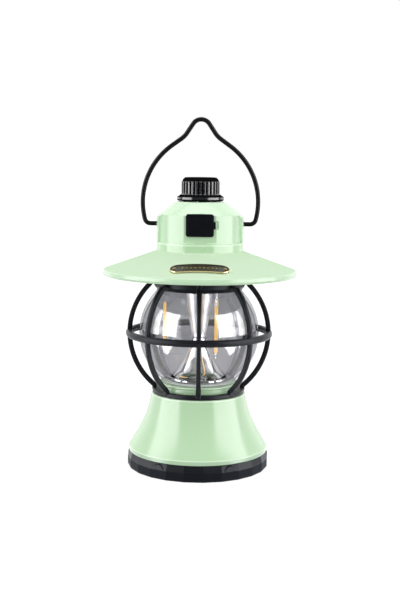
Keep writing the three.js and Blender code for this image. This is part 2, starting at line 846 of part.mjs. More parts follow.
// ---------------------------------------------------------------- moving pieces
// The port cover, built round its hinge line at the left edge of its front face.
function portCover() {
  const back = PORT_FACE - 0.1;
  const front = back - PORT_COVER.thickness;
  const width = PORT_COVER.right - PORT_COVER.left;
  const middle = (PORT_COVER.right + PORT_COVER.left) / 2;
  const plate = solidOf(plateXZ(width, PORT_COVER.height, 1.5, front, back)).translate(middle, 0, 0);
  const tab = solidOf(box(2.4, 1, 4.7, PORT_COVER.right + 0.1, back - 0.7, 0));
  const plugSize = [PORT_OPENING.width - 1, PORT_OPENING.height - 0.8];
  const plug = solidOf(plateXZ(...plugSize, 1, back - 0.2, back + 1.2));
  return join([plate, tab, plug]).translate(-COVER_HINGE.x, -COVER_HINGE.y, 0);
}

function buildPortCover() {
  const group = new THREE.Group();
  group.position.set(COVER_HINGE.x, COVER_HINGE.y, PORT_HEIGHT);
  group.add(mesh("port_cover", portCover(), blackRubber));
  return group;
}

// The knob, from the cap's top upwards: fluted grip, flared skirt and a hollow over the dimmer's nut.
function dimmerKnob() {
  const [gripFrom, gripTo] = [4.4, 12.6];
  const step = 360 / KNOB_FLUTES;
  const flutes = Array.from({ length: KNOB_FLUTES }, (_, i) => [
    ...arc(0, 0, KNOB_RADIUS, (i - 0.22) * step, (i + 0.22) * step, 1),
    roundPlace(KNOB_RADIUS - 0.7, (i + 0.5) * step),
  ]).flat();
  const grip = new THREE.ExtrudeGeometry(new THREE.Shape(points(flutes)), {
    depth: gripTo - gripFrom,
    bevelEnabled: false,
  }).translate(0, 0, gripFrom);
  const crown = turnedSolid(
    [
      [KNOB_RADIUS - 0.5, gripTo - 1],
      [KNOB_RADIUS - 0.5, gripTo + 0.2],
      [KNOB_RADIUS - 2.3, KNOB_HEIGHT],
    ],
    KNOB_FLUTES,
  );
  const skirt = turnedSolid(
    [
      [KNOB_SKIRT - 0.6, 0.4],
      [KNOB_SKIRT, 1.1],
      [KNOB_SKIRT, 2.1],
      [KNOB_RADIUS, 4.8],
    ],
    KNOB_FLUTES,
  );
  const hollow = turnedSolid(
    [
      [12.4, -1],
      [12.4, 1.2],
      [10.6, 3.4],
    ],
    20,
  );
  const bore = solidOf(post(SHAFT_RADIUS + 0.1, 0, 11.8, 12));
  return cut(join([solidOf(grip), crown, skirt]), [hollow, bore]);
}

function buildDimmer() {
  const group = new THREE.Group();
  group.position.z = CAP_TOP;
  group.add(
    mesh("dimmer_knob", dimmerKnob(), blackPlastic),
    mesh("dimmer_shaft", post(SHAFT_RADIUS, -3, 11.5, 12), steel),
  );
  return group;
}

// The bail, built round its pivot line: each corner is (across, up, bend radius).
function handleBail() {
  const right = [
    [23.2, 0],
    [34.1, 0, 3.6],
    [41.8, 31.55, 43.2],
    [10.2, 54.2, 14],
  ];
  const left = right.map(([across, ...rest]) => [-across, ...rest]).reverse();
  return wire([...right, [0, 69.6, 6], ...left], WIRE_RADIUS, 8, 64);
}

function buildHandle() {
  const group = new THREE.Group();
  group.position.z = PIVOT_HEIGHT;
  group.add(mesh("handle_bail", handleBail(), blackWire));
  return group;
}

// ---------------------------------------------------------------- the lantern
const lantern = new THREE.Group();
lantern.add(buildBase(), buildLight(), buildBrim(), buildCap());
lantern.add(buildPortCover(), buildDimmer(), buildHandle());

export default lantern;
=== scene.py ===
"""Looks of the camping lantern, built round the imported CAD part.

Lengths are millimetres until a mesh is made. The frame is the CAD's: origin under the foot, +Z up, the
charging port towards -Y."""

import math

import bmesh
import bpy
import numpy as np
from mathutils import Matrix, Vector


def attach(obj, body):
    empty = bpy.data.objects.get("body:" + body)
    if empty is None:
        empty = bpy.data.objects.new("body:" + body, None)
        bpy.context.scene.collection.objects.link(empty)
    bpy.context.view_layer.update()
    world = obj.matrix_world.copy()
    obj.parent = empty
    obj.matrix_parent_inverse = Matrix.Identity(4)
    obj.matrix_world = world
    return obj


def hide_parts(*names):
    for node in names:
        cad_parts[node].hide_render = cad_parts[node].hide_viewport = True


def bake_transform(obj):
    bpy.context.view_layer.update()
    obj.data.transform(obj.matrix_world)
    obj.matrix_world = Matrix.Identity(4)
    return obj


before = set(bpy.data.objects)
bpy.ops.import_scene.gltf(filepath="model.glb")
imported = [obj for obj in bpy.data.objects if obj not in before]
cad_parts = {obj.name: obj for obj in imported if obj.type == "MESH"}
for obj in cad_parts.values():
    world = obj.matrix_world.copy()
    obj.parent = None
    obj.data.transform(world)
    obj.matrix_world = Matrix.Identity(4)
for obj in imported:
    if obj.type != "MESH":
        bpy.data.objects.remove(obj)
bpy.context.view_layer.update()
MM = 0.001
TURN = 2 * math.pi


# ------ node materials
def new_material(name):
    made = bpy.data.materials.new(name)
    made.use_nodes = True
    tree = made.node_tree
    tree.nodes.clear()
    output = tree.nodes.new("ShaderNodeOutputMaterial")
    return made, tree, output


def add_node(tree, kind, inputs=None, **settings):
    node = tree.nodes.new(kind)
    for key, value in settings.items():
        setattr(node, key, value)
    for key, value in (inputs or {}).items():
        if isinstance(value, bpy.types.NodeSocket):
            tree.links.new(value, node.inputs[key])
        else:
            node.inputs[key].default_value = value
    return node


def noise(tree, scale, detail=3.0, stretch=(1, 1, 1)):
    """A grey noise in object space. Scale is in features per metre."""
    place = add_node(tree, "ShaderNodeTexCoord")
    mapping = add_node(tree, "ShaderNodeMapping", {"Vector": place.outputs["Object"], "Scale": stretch})
    settings = {"Vector": mapping.outputs[0], "Scale": scale, "Detail": detail}
    return add_node(tree, "ShaderNodeTexNoise", settings).outputs["Fac"]


def map_range(tree, value, start, end, low, high, kind="LINEAR"):
    limits = {"Value": value, "From Min": start, "From Max": end, "To Min": low, "To Max": high}
    return add_node(tree, "ShaderNodeMapRange", limits, interpolation_type=kind).outputs[0]


def remap(tree, value, low, high):
    """Stretches the usual range of a noise to low..high."""
    return map_range(tree, value, 0.3, 0.7, low, high)


def fade(tree, value, zero, one):
    """0 at one value, 1 at the other, and a smooth step between."""
    return map_range(tree, value, zero, one, 0.0, 1.0, "SMOOTHSTEP")


def math_node(tree, operation, first, second=0.0, third=0.0):
    values = {0: first, 1: second, 2: third}
    return add_node(tree, "ShaderNodeMath", values, operation=operation).outputs[0]


def bump(tree, height, strength, distance):
    settings = {"Height": height, "Strength": strength, "Distance": distance}
    return add_node(tree, "ShaderNodeBump", settings).outputs[0]


def principled(tree, output, settings):
    shader = add_node(tree, "ShaderNodeBsdfPrincipled", settings)
    tree.links.new(shader.outputs[0], output.inputs[0])


def mix_colour(tree, factor, one, two):
    node = add_node(tree, "ShaderNodeMix", data_type="RGBA")
    tree.links.new(factor, node.inputs["Factor"])
    node.inputs["A"].default_value = (*one, 1)
    node.inputs["B"].default_value = (*two, 1)
    return node.outputs["Result"]


def plastic(
    name, colour, darker, rough, grain=0.02, grain_scale=2600, specular=0.5, glow=0.0, tint=(1, 1, 1)
):
    """Moulded plastic: slight mottling of colour and gloss, and a fine grain. Tint colours the shine."""
    made, tree, output = new_material(name)
    mottle = noise(tree, 60, 2)
    fine = noise(tree, grain_scale, 2)
    settings = {
        "Base Color": mix_colour(tree, mottle, darker, colour),
        "Roughness": remap(tree, mottle, rough * 0.93, rough * 1.07),
        "Specular IOR Level": specular,
        "Specular Tint": (*tint, 1.0),
        "Emission Color": (*colour, 1.0),
        "Emission Strength": glow,
        "Normal": bump(tree, fine, grain, 0.00008),
    }
    principled(tree, output, settings)
    return made


def metal(name, colour, rough, brushed=0.0, stretch=(1, 1, 1), scale=900):
    made, tree, output = new_material(name)
    streaks = noise(tree, scale, 3, stretch)
    settings = {
        "Base Color": mix_colour(tree, streaks, [c * 0.86 for c in colour], colour),
        "Metallic": 1.0,
        "Roughness": remap(tree, streaks, rough * 0.8, rough * 1.2),
        "Normal": bump(tree, streaks, brushed, 0.00005),
    }
    principled(tree, output, settings)
    return made


def smoked_wall(name, tint, edge_tint):
    """One face of a thin smoked wall: light passes straight through, tinted more at the ball's edge."""
    made, tree, output = new_material(name)
    wave = bump(tree, noise(tree, 26, 1), 0.05, 0.0016)
    facing = add_node(tree, "ShaderNodeLayerWeight", {"Blend": 0.5, "Normal": wave}).outputs["Facing"]
    late = math_node(tree, "POWER", facing, 2.2)
    smoke = mix_colour(tree, late, tint, edge_tint)
    through = add_node(tree, "ShaderNodeBsdfTransparent", {"Color": smoke})
    polish = {"Color": (1, 1, 1, 1), "Roughness": 0.015, "Normal": wave}
    shine = add_node(tree, "ShaderNodeBsdfGlossy", polish)
    steep = math_node(tree, "POWER", facing, 5.0)
    mirror = math_node(tree, "MULTIPLY_ADD", steep, 0.30, 0.052)
    both = add_node(tree, "ShaderNodeMixShader", {0: mirror, 1: through.outputs[0], 2: shine.outputs[0]})
    tree.links.new(both.outputs[0], output.inputs[0])
    return made


def phosphor(name):
    """The filament's yellow silicone over lit chips, with faint bands for the chips."""
    made, tree, output = new_material(name)
    place = add_node(tree, "ShaderNodeTexCoord").outputs["Object"]
    chips = {"Vector": place, "Scale": 190.0, "Distortion": 0.0}
    band = add_node(tree, "ShaderNodeTexWave", chips, bands_direction="Z").outputs["Fac"]
    colour = mix_colour(tree, band, (0.93, 0.52, 0.13), (1.0, 0.66, 0.24))
    settings = {"Base Color": colour, "Roughness": 0.45, "Emission Color": colour, "Emission Strength": 1.6}
    principled(tree, output, settings)
    return made


# the green paint's shine is less green than the light, so that highlights stay soft
ROSE = (1.0, 0.68, 1.04)
MINT = plastic(
    "mint", (0.492, 0.722, 0.455), (0.484, 0.714, 0.447), 0.20, grain=0.015, specular=0.29, tint=ROSE
)
# the cap's copy of the mint, painted lighter than the base's to stand in for the stronger light on the head
MINT_HEAD_PAINTED_LIGHTER = plastic(
    "mint_head_painted_lighter", (0.537, 0.757, 0.505), (0.529, 0.749, 0.497), 0.20, grain=0.015, specular=0.29, tint=ROSE
)
# the brim's copy, painted lighter than the base's because its upward slope gets more light, and without
# shine
MINT_BRIM_PAINTED_LIGHTER = plastic(
    "mint_brim_painted_lighter", (0.600, 0.765, 0.562), (0.592, 0.757, 0.554), 0.46, grain=0.03, specular=0.0
)
# a lighter mint for rims, ridges and ledges: a painted highlight
MINT_PAINTED_HIGHLIGHT = plastic(
    "mint_edge_painted_highlight", (0.650, 0.860, 0.610), (0.640, 0.850, 0.600), 0.20, grain=0.0, specular=0.3, tint=ROSE
)
# a darker mint for the base's downward-facing bottom lip: painted shade
MINT_LIP_PAINTED_SHADE = plastic(
    "mint_lip_painted_shade", (0.410, 0.600, 0.395), (0.400, 0.590, 0.385), 0.20, grain=0.0, specular=0.29, tint=ROSE
)
BLACK = plastic(
    "black_plastic", (0.0095, 0.0105, 0.0135), (0.0080, 0.0090, 0.0115), 0.38, grain=0.05, specular=0.075
)
DEEP_BLACK = (0.0120, 0.0125, 0.0145), (0.0100, 0.0105, 0.0120)
BLACK_GLOSS = plastic("black_gloss", *DEEP_BLACK, 0.28, grain=0.0, specular=0.42)
BLACK_MATT = plastic(
    "black_matt", (0.0060, 0.0060, 0.0066), (0.0050, 0.0050, 0.0056), 0.55, grain=0.05, specular=0.0
)
BLACK_RIM = plastic("black_rim", *DEEP_BLACK, 0.14, grain=0.0, specular=0.4)
BLUE_BLACK = (0.0100, 0.0115, 0.0150), (0.0080, 0.0095, 0.0125)
RUBBER = plastic("rubber", *BLUE_BLACK, 0.50, grain=0.1, grain_scale=3400, specular=0.02)
RUBBER_EDGE = plastic("rubber_edge", *BLUE_BLACK, 0.30, grain=0.0, specular=0.07)
COVER_RUBBER = plastic(
    "cover_rubber", (0.0055, 0.0058, 0.0080), (0.0045, 0.0048, 0.0068), 0.55, grain=0.12, specular=0.02
)
WIRE = plastic(
    "wire_paint", (0.0060, 0.0060, 0.0060), (0.0045, 0.0045, 0.0045), 0.24, grain=0.0, specular=0.06
)
SILICONE = plastic("silicone", (0.42, 0.46, 0.43), (0.40, 0.44, 0.41), 0.5, grain=0.05, specular=0.2)
# the globe's ground bands are grey like ground glass, and they glow though they are no lamp: painted light
GROUND_EDGE_PAINTED_GLOW = plastic(
    "ground_edge_painted_glow", (0.62, 0.64, 0.63), (0.56, 0.58, 0.57), 0.5, grain=0.05, specular=0.3, glow=0.45
)
CHROME = metal("mirror_coat", (0.93, 0.92, 0.90), 0.05)
CHROME_SATIN = metal("satin_coat", (0.95, 0.94, 0.92), 0.32)
STEEL = metal("steel", (0.60, 0.61, 0.63), 0.26, brushed=0.15, stretch=(1, 1, 8))
LEAD = metal("plated_lead", (0.78, 0.77, 0.75), 0.2)
BRONZE = metal("bronze_dark", (0.012, 0.010, 0.005), 0.40, brushed=0.1, scale=1500)
BRONZE_WORN = metal("bronze_worn", (0.075, 0.060, 0.028), 0.36, brushed=0.1, scale=1500)
BRASS = metal("brass_edge", (0.55, 0.46, 0.25), 0.22, brushed=0.05, scale=1500)
GLOW = phosphor("filament_phosphor")
SMOKE = (0.695, 0.695, 0.71), (0.52, 0.52, 0.54)
SMOKE_OUT = smoked_wall("smoke_outer", *SMOKE)
SMOKE_IN = smoked_wall("smoke_inner", *SMOKE)
BOARD = plastic("circuit_board", (0.010, 0.024, 0.014), (0.008, 0.020, 0.012), 0.45, specular=0.2)
WRAP = plastic("cell_wrap", (0.05, 0.14, 0.38), (0.045, 0.12, 0.34), 0.3)
RED = plastic("red_sleeve", (0.42, 0.02, 0.015), (0.38, 0.02, 0.015), 0.4)


# ------ mesh building
def add_to_scene(name, data):
    made = bpy.data.objects.new(name, data)
    bpy.context.scene.collection.objects.link(made)
    return made


def build(name, points, faces, slot, finishes, replaces=(), sharp=34, parts=None, weld=True):
    """A mesh from points in millimetres. parts gives each face's index into finishes."""
    data = bpy.data.meshes.new(name)
    data.from_pydata((np.asarray(points, float) * MM).tolist(), [], [list(map(int, f)) for f in faces])
    data.update()
    for finish in finishes if isinstance(finishes, (list, tuple)) else [finishes]:
        data.materials.append(finish)
    if parts is not None:
        data.polygons.foreach_set("material_index", np.asarray(parts, np.int32))
    work = bmesh.new()
    work.from_mesh(data)
    if weld:
        bmesh.ops.remove_doubles(work, verts=work.verts, dist=1e-7)
    bmesh.ops.recalc_face_normals(work, faces=work.faces)
    work.to_mesh(data)
    work.free()
    data.polygons.foreach_set("use_smooth", [True] * len(data.polygons))
    data.set_sharp_from_angle(angle=math.radians(sharp))
    made = add_to_scene(name, data)
    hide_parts(*replaces)
    return made


def make(*piece, body="lantern", **look):
    """A mesh, described as for build(), that rides on one body."""
    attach(build(*piece, **look), body)


def stack(parts):
    """Several (points, faces) as one."""
    points, faces, first = [], [], 0
    for some_points, some_faces in parts:
        points.append(np.asarray(some_points, float).reshape(-1, 3))
        faces += [[i + first for i in f] for f in some_faces]
        first += len(points[-1])
    return np.vstack(points), faces


def moved(part, matrix):
    points = np.asarray(part[0], float)
    m = np.array(matrix, float)
    return points @ m[:3, :3].T + m[:3, 3], part[1]


def turned_about_z(part, degrees):
    return moved(part, Matrix.Rotation(math.radians(degrees), 4, "Z"))


def shifted(part, x, y, z):
    return moved(part, Matrix.Translation((x, y, z)))


def skin(rings, close_rings=False, cap_ends=False):
    """Joins rings of equally many points. Each ring closes on itself; the row of rings can close too."""
    rings = np.asarray(rings, float)
    count, around = rings.shape[:2]
    faces = []
    for i in range(count if close_rings else count - 1):
        a, b = i * around, ((i + 1) % count) * around
        for j in range(around):
            k = (j + 1) % around
            faces.append([a + j, a + k, b + k, b + j])
    if cap_ends:
        faces.append(list(range(around))[::-1])
        faces.append([(count - 1) * around + j for j in range(around)])
    return rings.reshape(-1, 3), faces


def rounded(corners, closed=True, step=11, share=0.49):
    """A flat path from (across, up, fillet radius) corners. A fillet takes at most its share of a run."""
    out = []
    count = len(corners)
    for i, (x, y, radius) in enumerate(corners):
        at = Vector((x, y))
        if radius <= 0 or (not closed and i in (0, count - 1)):
            out.append((x, y))
            continue
        back = Vector(corners[i - 1][:2]) - at
        on = Vector(corners[(i + 1) % count][:2]) - at
        lengths = back.length, on.length
        back.normalize()
        on.normalize()
        half = back.angle(on) / 2
        if half > math.radians(88.5):
            out.append((x, y))
            continue
        inset = min(radius / math.tan(half), share * lengths[0], share * lengths[1])
        radius = inset * math.tan(half)
        centre = at + (back + on).normalized() * radius / math.sin(half)
        first, last = at + back * inset - centre, at + on * inset - centre
        start = math.atan2(first.y, first.x)
        sweep = (math.atan2(last.y, last.x) - start + math.pi) % TURN - math.pi
        steps = max(2, math.ceil(abs(math.degrees(sweep)) / step))
        for j in range(steps + 1):
            a = start + sweep * j / steps
            out.append((centre.x + radius * math.cos(a), centre.y + radius * math.sin(a)))
    return out


def denser(path, gap, closed=True):
    """The same path with extra points so that none are further apart than gap."""
    out = []
    count = len(path)
    for i in range(count if closed else count - 1):
        a, b = np.array(path[i], float), np.array(path[(i + 1) % count], float)
        steps = max(1, math.ceil(np.linalg.norm(b - a) / gap))
        out += [tuple(a + (b - a) * j / steps) for j in range(steps)]
    if not closed:
        out.append(tuple(path[-1]))
    return out


def smooth_curve(knots, steps=6):
    """A curve through the knots."""
    knots = np.array(knots, float)
    padded = np.vstack([2 * knots[0] - knots[1], knots, 2 * knots[-1] - knots[-2]])
    out = []
    for i in range(1, len(padded) - 2):
        a, b, c, d = padded[i - 1 : i + 3]
        for j in range(steps):
            t = j / steps
            bend = (2 * a - 5 * b + 4 * c - d) * t**2 + (3 * b - a - 3 * c + d) * t**3
            out.append(0.5 * (2 * b + (c - a) * t + bend))
    out.append(knots[-1])
    return [tuple(p) for p in out]


def where(points, faces):
    """Distance from the axis and height of the middle of each face."""
    middle = np.array([np.mean([points[i] for i in face], axis=0) for face in faces])
    return np.hypot(middle[:, 0], middle[:, 1]), middle[:, 2]


def lathe(outline, segments, shape=None, closed=True):
    """Turns (radius, height) points about the axis. shape(radii, heights, angles) can bend each ring."""
    outline = np.array(outline, float)
    angles = np.arange(segments) * TURN / segments - math.pi / 2
    rings = []
    for radius, height in outline:
        r, z = np.full(segments, radius), np.full(segments, height)
        if shape:
            r, z = shape(r, z, angles)
        rings.append(np.stack([r * np.cos(angles), r * np.sin(angles), z], 1))
    on_axis = outline[0][0] < 1e-6 and outline[-1][0] < 1e-6
    return skin(rings, close_rings=closed and not on_axis)


def tube(path, section, side=(0, 1, 0), widths=None, closed=False):
    """Sweeps a section of (towards side, other way) points along a path of points."""
    path = np.array(path, float)
    section = np.array(section, float)
    side = np.array(side, float)
    rings = []
    for i, at in enumerate(path):
        ahead = path[(i + 1) % len(path)] if closed or i < len(path) - 1 else at
        behind = path[i - 1] if closed or i > 0 else at
        along = (ahead - behind) / np.linalg.norm(ahead - behind)
        across = side - along * (side @ along)
        across /= np.linalg.norm(across)
        other = np.cross(along, across)
        width = 1.0 if widths is None else widths[i]
        rings.append(at + section[:, :1] * across * width + section[:, 1:] * other)
    return skin(rings, close_rings=closed, cap_ends=not closed)


def circle(radius, sides):
    angles = [TURN * i / sides for i in range(sides)]
    return [(radius * math.cos(a), radius * math.sin(a)) for a in angles]


def box_outline(x, y, half_width, half_height, radius, step=11):
    corners = ((-1, -1), (1, -1), (1, 1), (-1, 1))
    return rounded([(x + i * half_width, y + j * half_height, radius) for i, j in corners], step=step)


def slab(outline, low, high, edge=0.3, steps=3):
    """A plate from an outline in XY, its upper and lower rims rounded over."""
    outline = np.array(outline, float)
    ahead, behind = np.roll(outline, -1, 0), np.roll(outline, 1, 0)
    along = ahead - behind
    normal = np.stack([along[:, 1], -along[:, 0]], 1)
    normal /= np.linalg.norm(normal, axis=1)[:, None]
    area = np.sum(outline[:, 0] * ahead[:, 1] - ahead[:, 0] * outline[:, 1])
    normal *= 1 if area > 0 else -1
    turns = [math.pi / 2 * i / steps for i in range(steps + 1)]
    levels = [(a, low + edge * (1 - math.cos(a))) for a in turns]
    levels += [(a, high - edge * (1 - math.cos(a))) for a in turns[::-1]]
    rings = []
    for a, height in levels:
        inset = edge * (1 - math.sin(a))
        rings.append(np.column_stack([outline - normal * inset, np.full(len(outline), height)]))
    return skin(rings, cap_ends=True)


def smoothstep(x, low, high):
    t = np.clip((np.asarray(x, float) - low) / (high - low), 0, 1)
    return t * t * (3 - 2 * t)


def polar(radius, degrees):
    return radius * math.cos(math.radians(degrees)), radius * math.sin(math.radians(degrees))


# ------ foot and base
FOOT_FACETS = 24
FOOT_RADIUS = 44.9
FOOT_TURN = math.radians(-3)
LUG_ANGLES = [-123 + 60 * i for i in range(6)]


def foot_ring():
    """The rubber foot: flat facets, a chamfer above them, and arched lugs that carry the wall up it."""
    facet = TURN / FOOT_FACETS

    def shape(r, z, angle):
        part = (angle - FOOT_TURN + math.pi / 2 + facet / 2) % facet - facet / 2
        flat = math.cos(facet / 2) / np.cos(part)
        outside = smoothstep(r, 40.0, 41.5)
        faceted = r * (1 + (flat - 1) * outside)
        for lug in LUG_ANGLES:
            along = FOOT_RADIUS * ((angle - math.radians(lug) + math.pi) % TURN - math.pi)
            inside = smoothstep(4.0 - np.hypot(along, z - 5.4), -0.12, 0.12) * outside * (z > 5.4)
            wall = FOOT_RADIUS * flat - 0.25 * smoothstep(z, 9.3, 9.95)
            faceted = faceted + (np.maximum(wall, faceted) - faceted) * inside
        return faceted, z

    outline = [
        (39.0, 0.0, 0.5), (44.2, 0.0, 0.0), (FOOT_RADIUS - 0.05, 0.8, 0.6),
        (FOOT_RADIUS, 5.8, 0.25), (43.75, 9.95, 0.0), (43.6, 10.05, 0.1), (38.7, 10.05, 0.2),
        (38.5, 0.8, 0.3),
    ]
    outline = rounded(outline)
    outline = denser(outline, 0.4)
    points, faces = lathe(outline, 960, shape)
    radius, height = where(points, faces)
    chamfer = ((radius > 42.0) & (height > 5.9)).astype(int)
    look = {"slot": "black_rubber", "finishes": [RUBBER, RUBBER_EDGE], "parts": chamfer, "sharp": 30}
    make("foot_ring_faceted", points, faces, replaces=["foot_ring"], **look)


SCREW_ANGLES = (60, 120, 240, 300)
SCREW_CIRCLE = 32.8


def base_plate():
    """The underside: a dished plate with screw wells, stiffening rings and a raised rim."""
    outline = [
        (0.0, 1.9, 0.0), (9.0, 1.9, 0.3), (9.6, 1.5, 0.3), (11.0, 1.5, 0.3), (11.6, 2.1, 0.3),
        (26.0, 2.1, 0.3), (26.5, 1.7, 0.2), (27.4, 1.7, 0.2), (27.9, 2.1, 0.3), (37.0, 2.1, 0.2),
        (37.6, 1.6, 0.2), (37.8, 1.8, 0.1), (37.8, 3.6, 0.1), (0.0, 3.6, 0.0),
    ]
    outline = rounded(outline)
    outline = denser(outline, 0.55, closed=False)

    def shape(r, z, angle):
        x, y = r * np.cos(angle), r * np.sin(angle)
        down = z < 2.6
        for screw in SCREW_ANGLES:
            sx, sy = polar(SCREW_CIRCLE, screw)
            away = np.hypot(x - sx, y - sy)
            well = 1 - smoothstep(away, 2.9, 3.3)
            collar = smoothstep(away, 3.3, 3.7) * (1 - smoothstep(away, 4.3, 4.7))
            z = np.where(down, z + (3.0 - z) * well - 0.25 * collar, z)
        return r, z

    plate = lathe(outline, 420, shape, closed=False)
    make("base_plate_moulded", *plate, "black_plastic", BLACK, ["base_plate"], sharp=40)


def cross_screw(low, head_radius, head_height):
    """A pan head seen from below, with a tapered cross recess."""
    high = low + head_height
    rows = [
        (0.0, low + 0.05, 0), (head_radius * 0.72, low, 0.8), (head_radius, low + 0.55, 0.3),
        (head_radius, high, 0), (0.0, high, 0),
    ]
    rows = rounded(rows, closed=False)
    rows = denser(rows, 0.1, closed=False)

    def shape(r, z, angle):
        across = np.minimum(np.abs(r * np.cos(angle)), np.abs(r * np.sin(angle)))
        reach = smoothstep(1.5 - r, 0, 0.15)
        cut = reach * (1 - smoothstep(across, 0.2, 0.34)) * (0.9 - 0.35 * r / 1.5)
        return r, np.where(z < high - 0.02, z + np.maximum(cut, 0), z)

    return lathe(rows, 96, shape, closed=False)


def base_screws():
    for number, angle in enumerate(SCREW_ANGLES, 1):
        x, y = polar(SCREW_CIRCLE, angle)
        screw = shifted(turned_about_z(cross_screw(0.95, 2.5, 1.3), 37 * number - 17), x, y, 0)
        make(f"base_screw_head_{number}", *screw, "steel", STEEL, [f"base_screw_{number}"], sharp=30)


BELL = [
    (43.95, 13.2), (43.35, 14.1), (41.0, 17.9), (38.75, 21.8), (36.65, 25.7), (34.75, 29.7),
    (32.55, 35.6), (31.0, 41.5), (29.95, 46.3),
]


def base_shell():
    """The bell: a lip at the bottom, the flared wall, a rounded rim and the deck inside it."""
    bell = smooth_curve(BELL, 7)
    joining = [(r, z, 0) for r, z in bell[1:3]]
    low = rounded([(43.2, 10.3, 0), (44.05, 10.3, 0.3), (44.25, 12.85, 0.35), *joining], closed=False)
    top = rounded([(*bell[-1], 0), (29.8, 47.3, 0.85), (28.6, 47.3, 0.0)], closed=False)
    inner = [(r - 2.2, z) for r, z in bell[::-6] if z < 43.5]
    outline = [*low, *bell[3:], *top[1:], (3.5, 47.2), (3.5, 44.7), (26.6, 44.7), *inner, (41.9, 10.3)]
    points, faces = lathe(outline, 256)
    radius, height = where(points, faces)
    # the top rim and the ridge above the lip get the mint with the painted highlight, the bottom lip the
    # mint with painted shade
    parts = ((radius > 28.6) & (height > 46.45)).astype(int)
    parts[(radius > 43.4) & (height > 12.8) & (height < 13.3)] = 1
    parts[(radius > 43.4) & (height < 12.55)] = 2
    look = {"slot": "mint_plastic", "finishes": [MINT, MINT_PAINTED_HIGHLIGHT, MINT_LIP_PAINTED_SHADE], "parts": parts, "sharp": 50}
    make("base_shell_bell", points, faces, replaces=["base_shell"], **look)


# ------ globe and its seat
GLOBE_Z = 85.6
GLOBE_R = 37.9
GLOBE_WALL = 1.8
GLOBE_LOW, GLOBE_HIGH = 55.05, 117.15
GROUND_GLOW_BAND = 0.4


def globe_seat():
    outline = [
        (3.5, 47.5, 0), (24.9, 47.5, 0.1), (24.9, 48.6, 0.3), (24.4, 49.4, 0.6), (24.4, 52.6, 0.4),
        (24.85, 53.1, 0.3), (24.85, 54.1, 0.45), (19.6, 54.1, 0.2), (19.4, 53.5, 0.2),
        (3.5, 53.5, 0.2),
    ]
    outline = rounded(outline)
    points, faces = lathe(outline, 224)
    radius, height = where(points, faces)
    # the top rim gets the mint with the painted highlight
    top_edge_painted_highlight = ((radius > 23.5) & (height > 53.6)).astype(int)
    look = {"slot": "mint_plastic", "finishes": [MINT, MINT_PAINTED_HIGHLIGHT], "parts": top_edge_painted_highlight, "sharp": 45}
    make("globe_seat_ring", points, faces, replaces=["globe_seat"], **look)


def gasket(name, inner, outer, low, high, node):
    """A flat silicone ring that bulges slightly where it is squeezed."""
    middle = (low + high) / 2
    outline = rounded([(inner, low, 0.35), (outer, low, 0.35), (outer, high, 0.35), (inner, high, 0.35)])
    lip = [(r + (0.08 if abs(z - middle) < 0.2 else 0), z) for r, z in outline]
    make(name, *lathe(lip, 128), "silicone", SILICONE, [node], sharp=60)


def ball(radius, start, stop, steps):
    """Points down or up a meridian of a ball round the globe's centre, between two heights."""
    a, b = math.asin((start - GLOBE_Z) / radius), math.asin((stop - GLOBE_Z) / radius)
    turns = [a + (b - a) * i / steps for i in range(steps + 1)]
    return [(radius * math.cos(t), GLOBE_Z + radius * math.sin(t)) for t in turns]


def globe():
    """The smoked ball, open at both ends, with a ground band at each opening that glows as painted light.
    """
    outer = ball(GLOBE_R, GLOBE_LOW, GLOBE_HIGH, 84)
    inner = ball(GLOBE_R - GLOBE_WALL, GLOBE_HIGH, GLOBE_LOW, 80)
    points, faces = lathe([*outer, *inner], 224)
    height = where(points, faces)[1]
    away = [np.mean([np.linalg.norm(points[i] - [0, 0, GLOBE_Z]) for i in face]) for face in faces]
    parts = (np.array(away) < GLOBE_R - GLOBE_WALL / 2).astype(int)
    # the ground bands get the glowing finish: painted light
    parts[(height > GLOBE_HIGH - GROUND_GLOW_BAND) | (height < GLOBE_LOW + GROUND_GLOW_BAND)] = 2
    look = {"slot": "smoked_clear", "finishes": [SMOKE_OUT, SMOKE_IN, GROUND_EDGE_PAINTED_GLOW], "parts": parts, "sharp": 50}
    make("globe_smoked", points, faces, replaces=["globe"], **look)


# ------ cage
CAGE_Z = 85.3
CAGE_R = 45.6


def cage_rib(side, stop_z, foot_z):
    """A rib of one half, as a bent bar of rounded box section, wider towards the end ring."""
    depth = 3.1
    middle = CAGE_R - depth / 2
    reach = math.asin(min(1.0, abs(stop_z - CAGE_Z) / middle))
    angles = np.linspace(math.radians(0.6), reach, 40)
    path = [(middle * math.cos(a), 0.0, CAGE_Z + side * middle * math.sin(a)) for a in angles]
    path.append((path[-1][0] - 0.25, 0.0, foot_z))
    grow = np.linspace(0, 1, len(path)) ** 2
    w, d, corner = 1.25, depth / 2, 0.75
    section = [(w, -d, corner), (w, d, corner), (-w, d, corner), (-w, -d, corner)]
    return tube(path, rounded(section, step=18), widths=1 + 0.35 * grow)


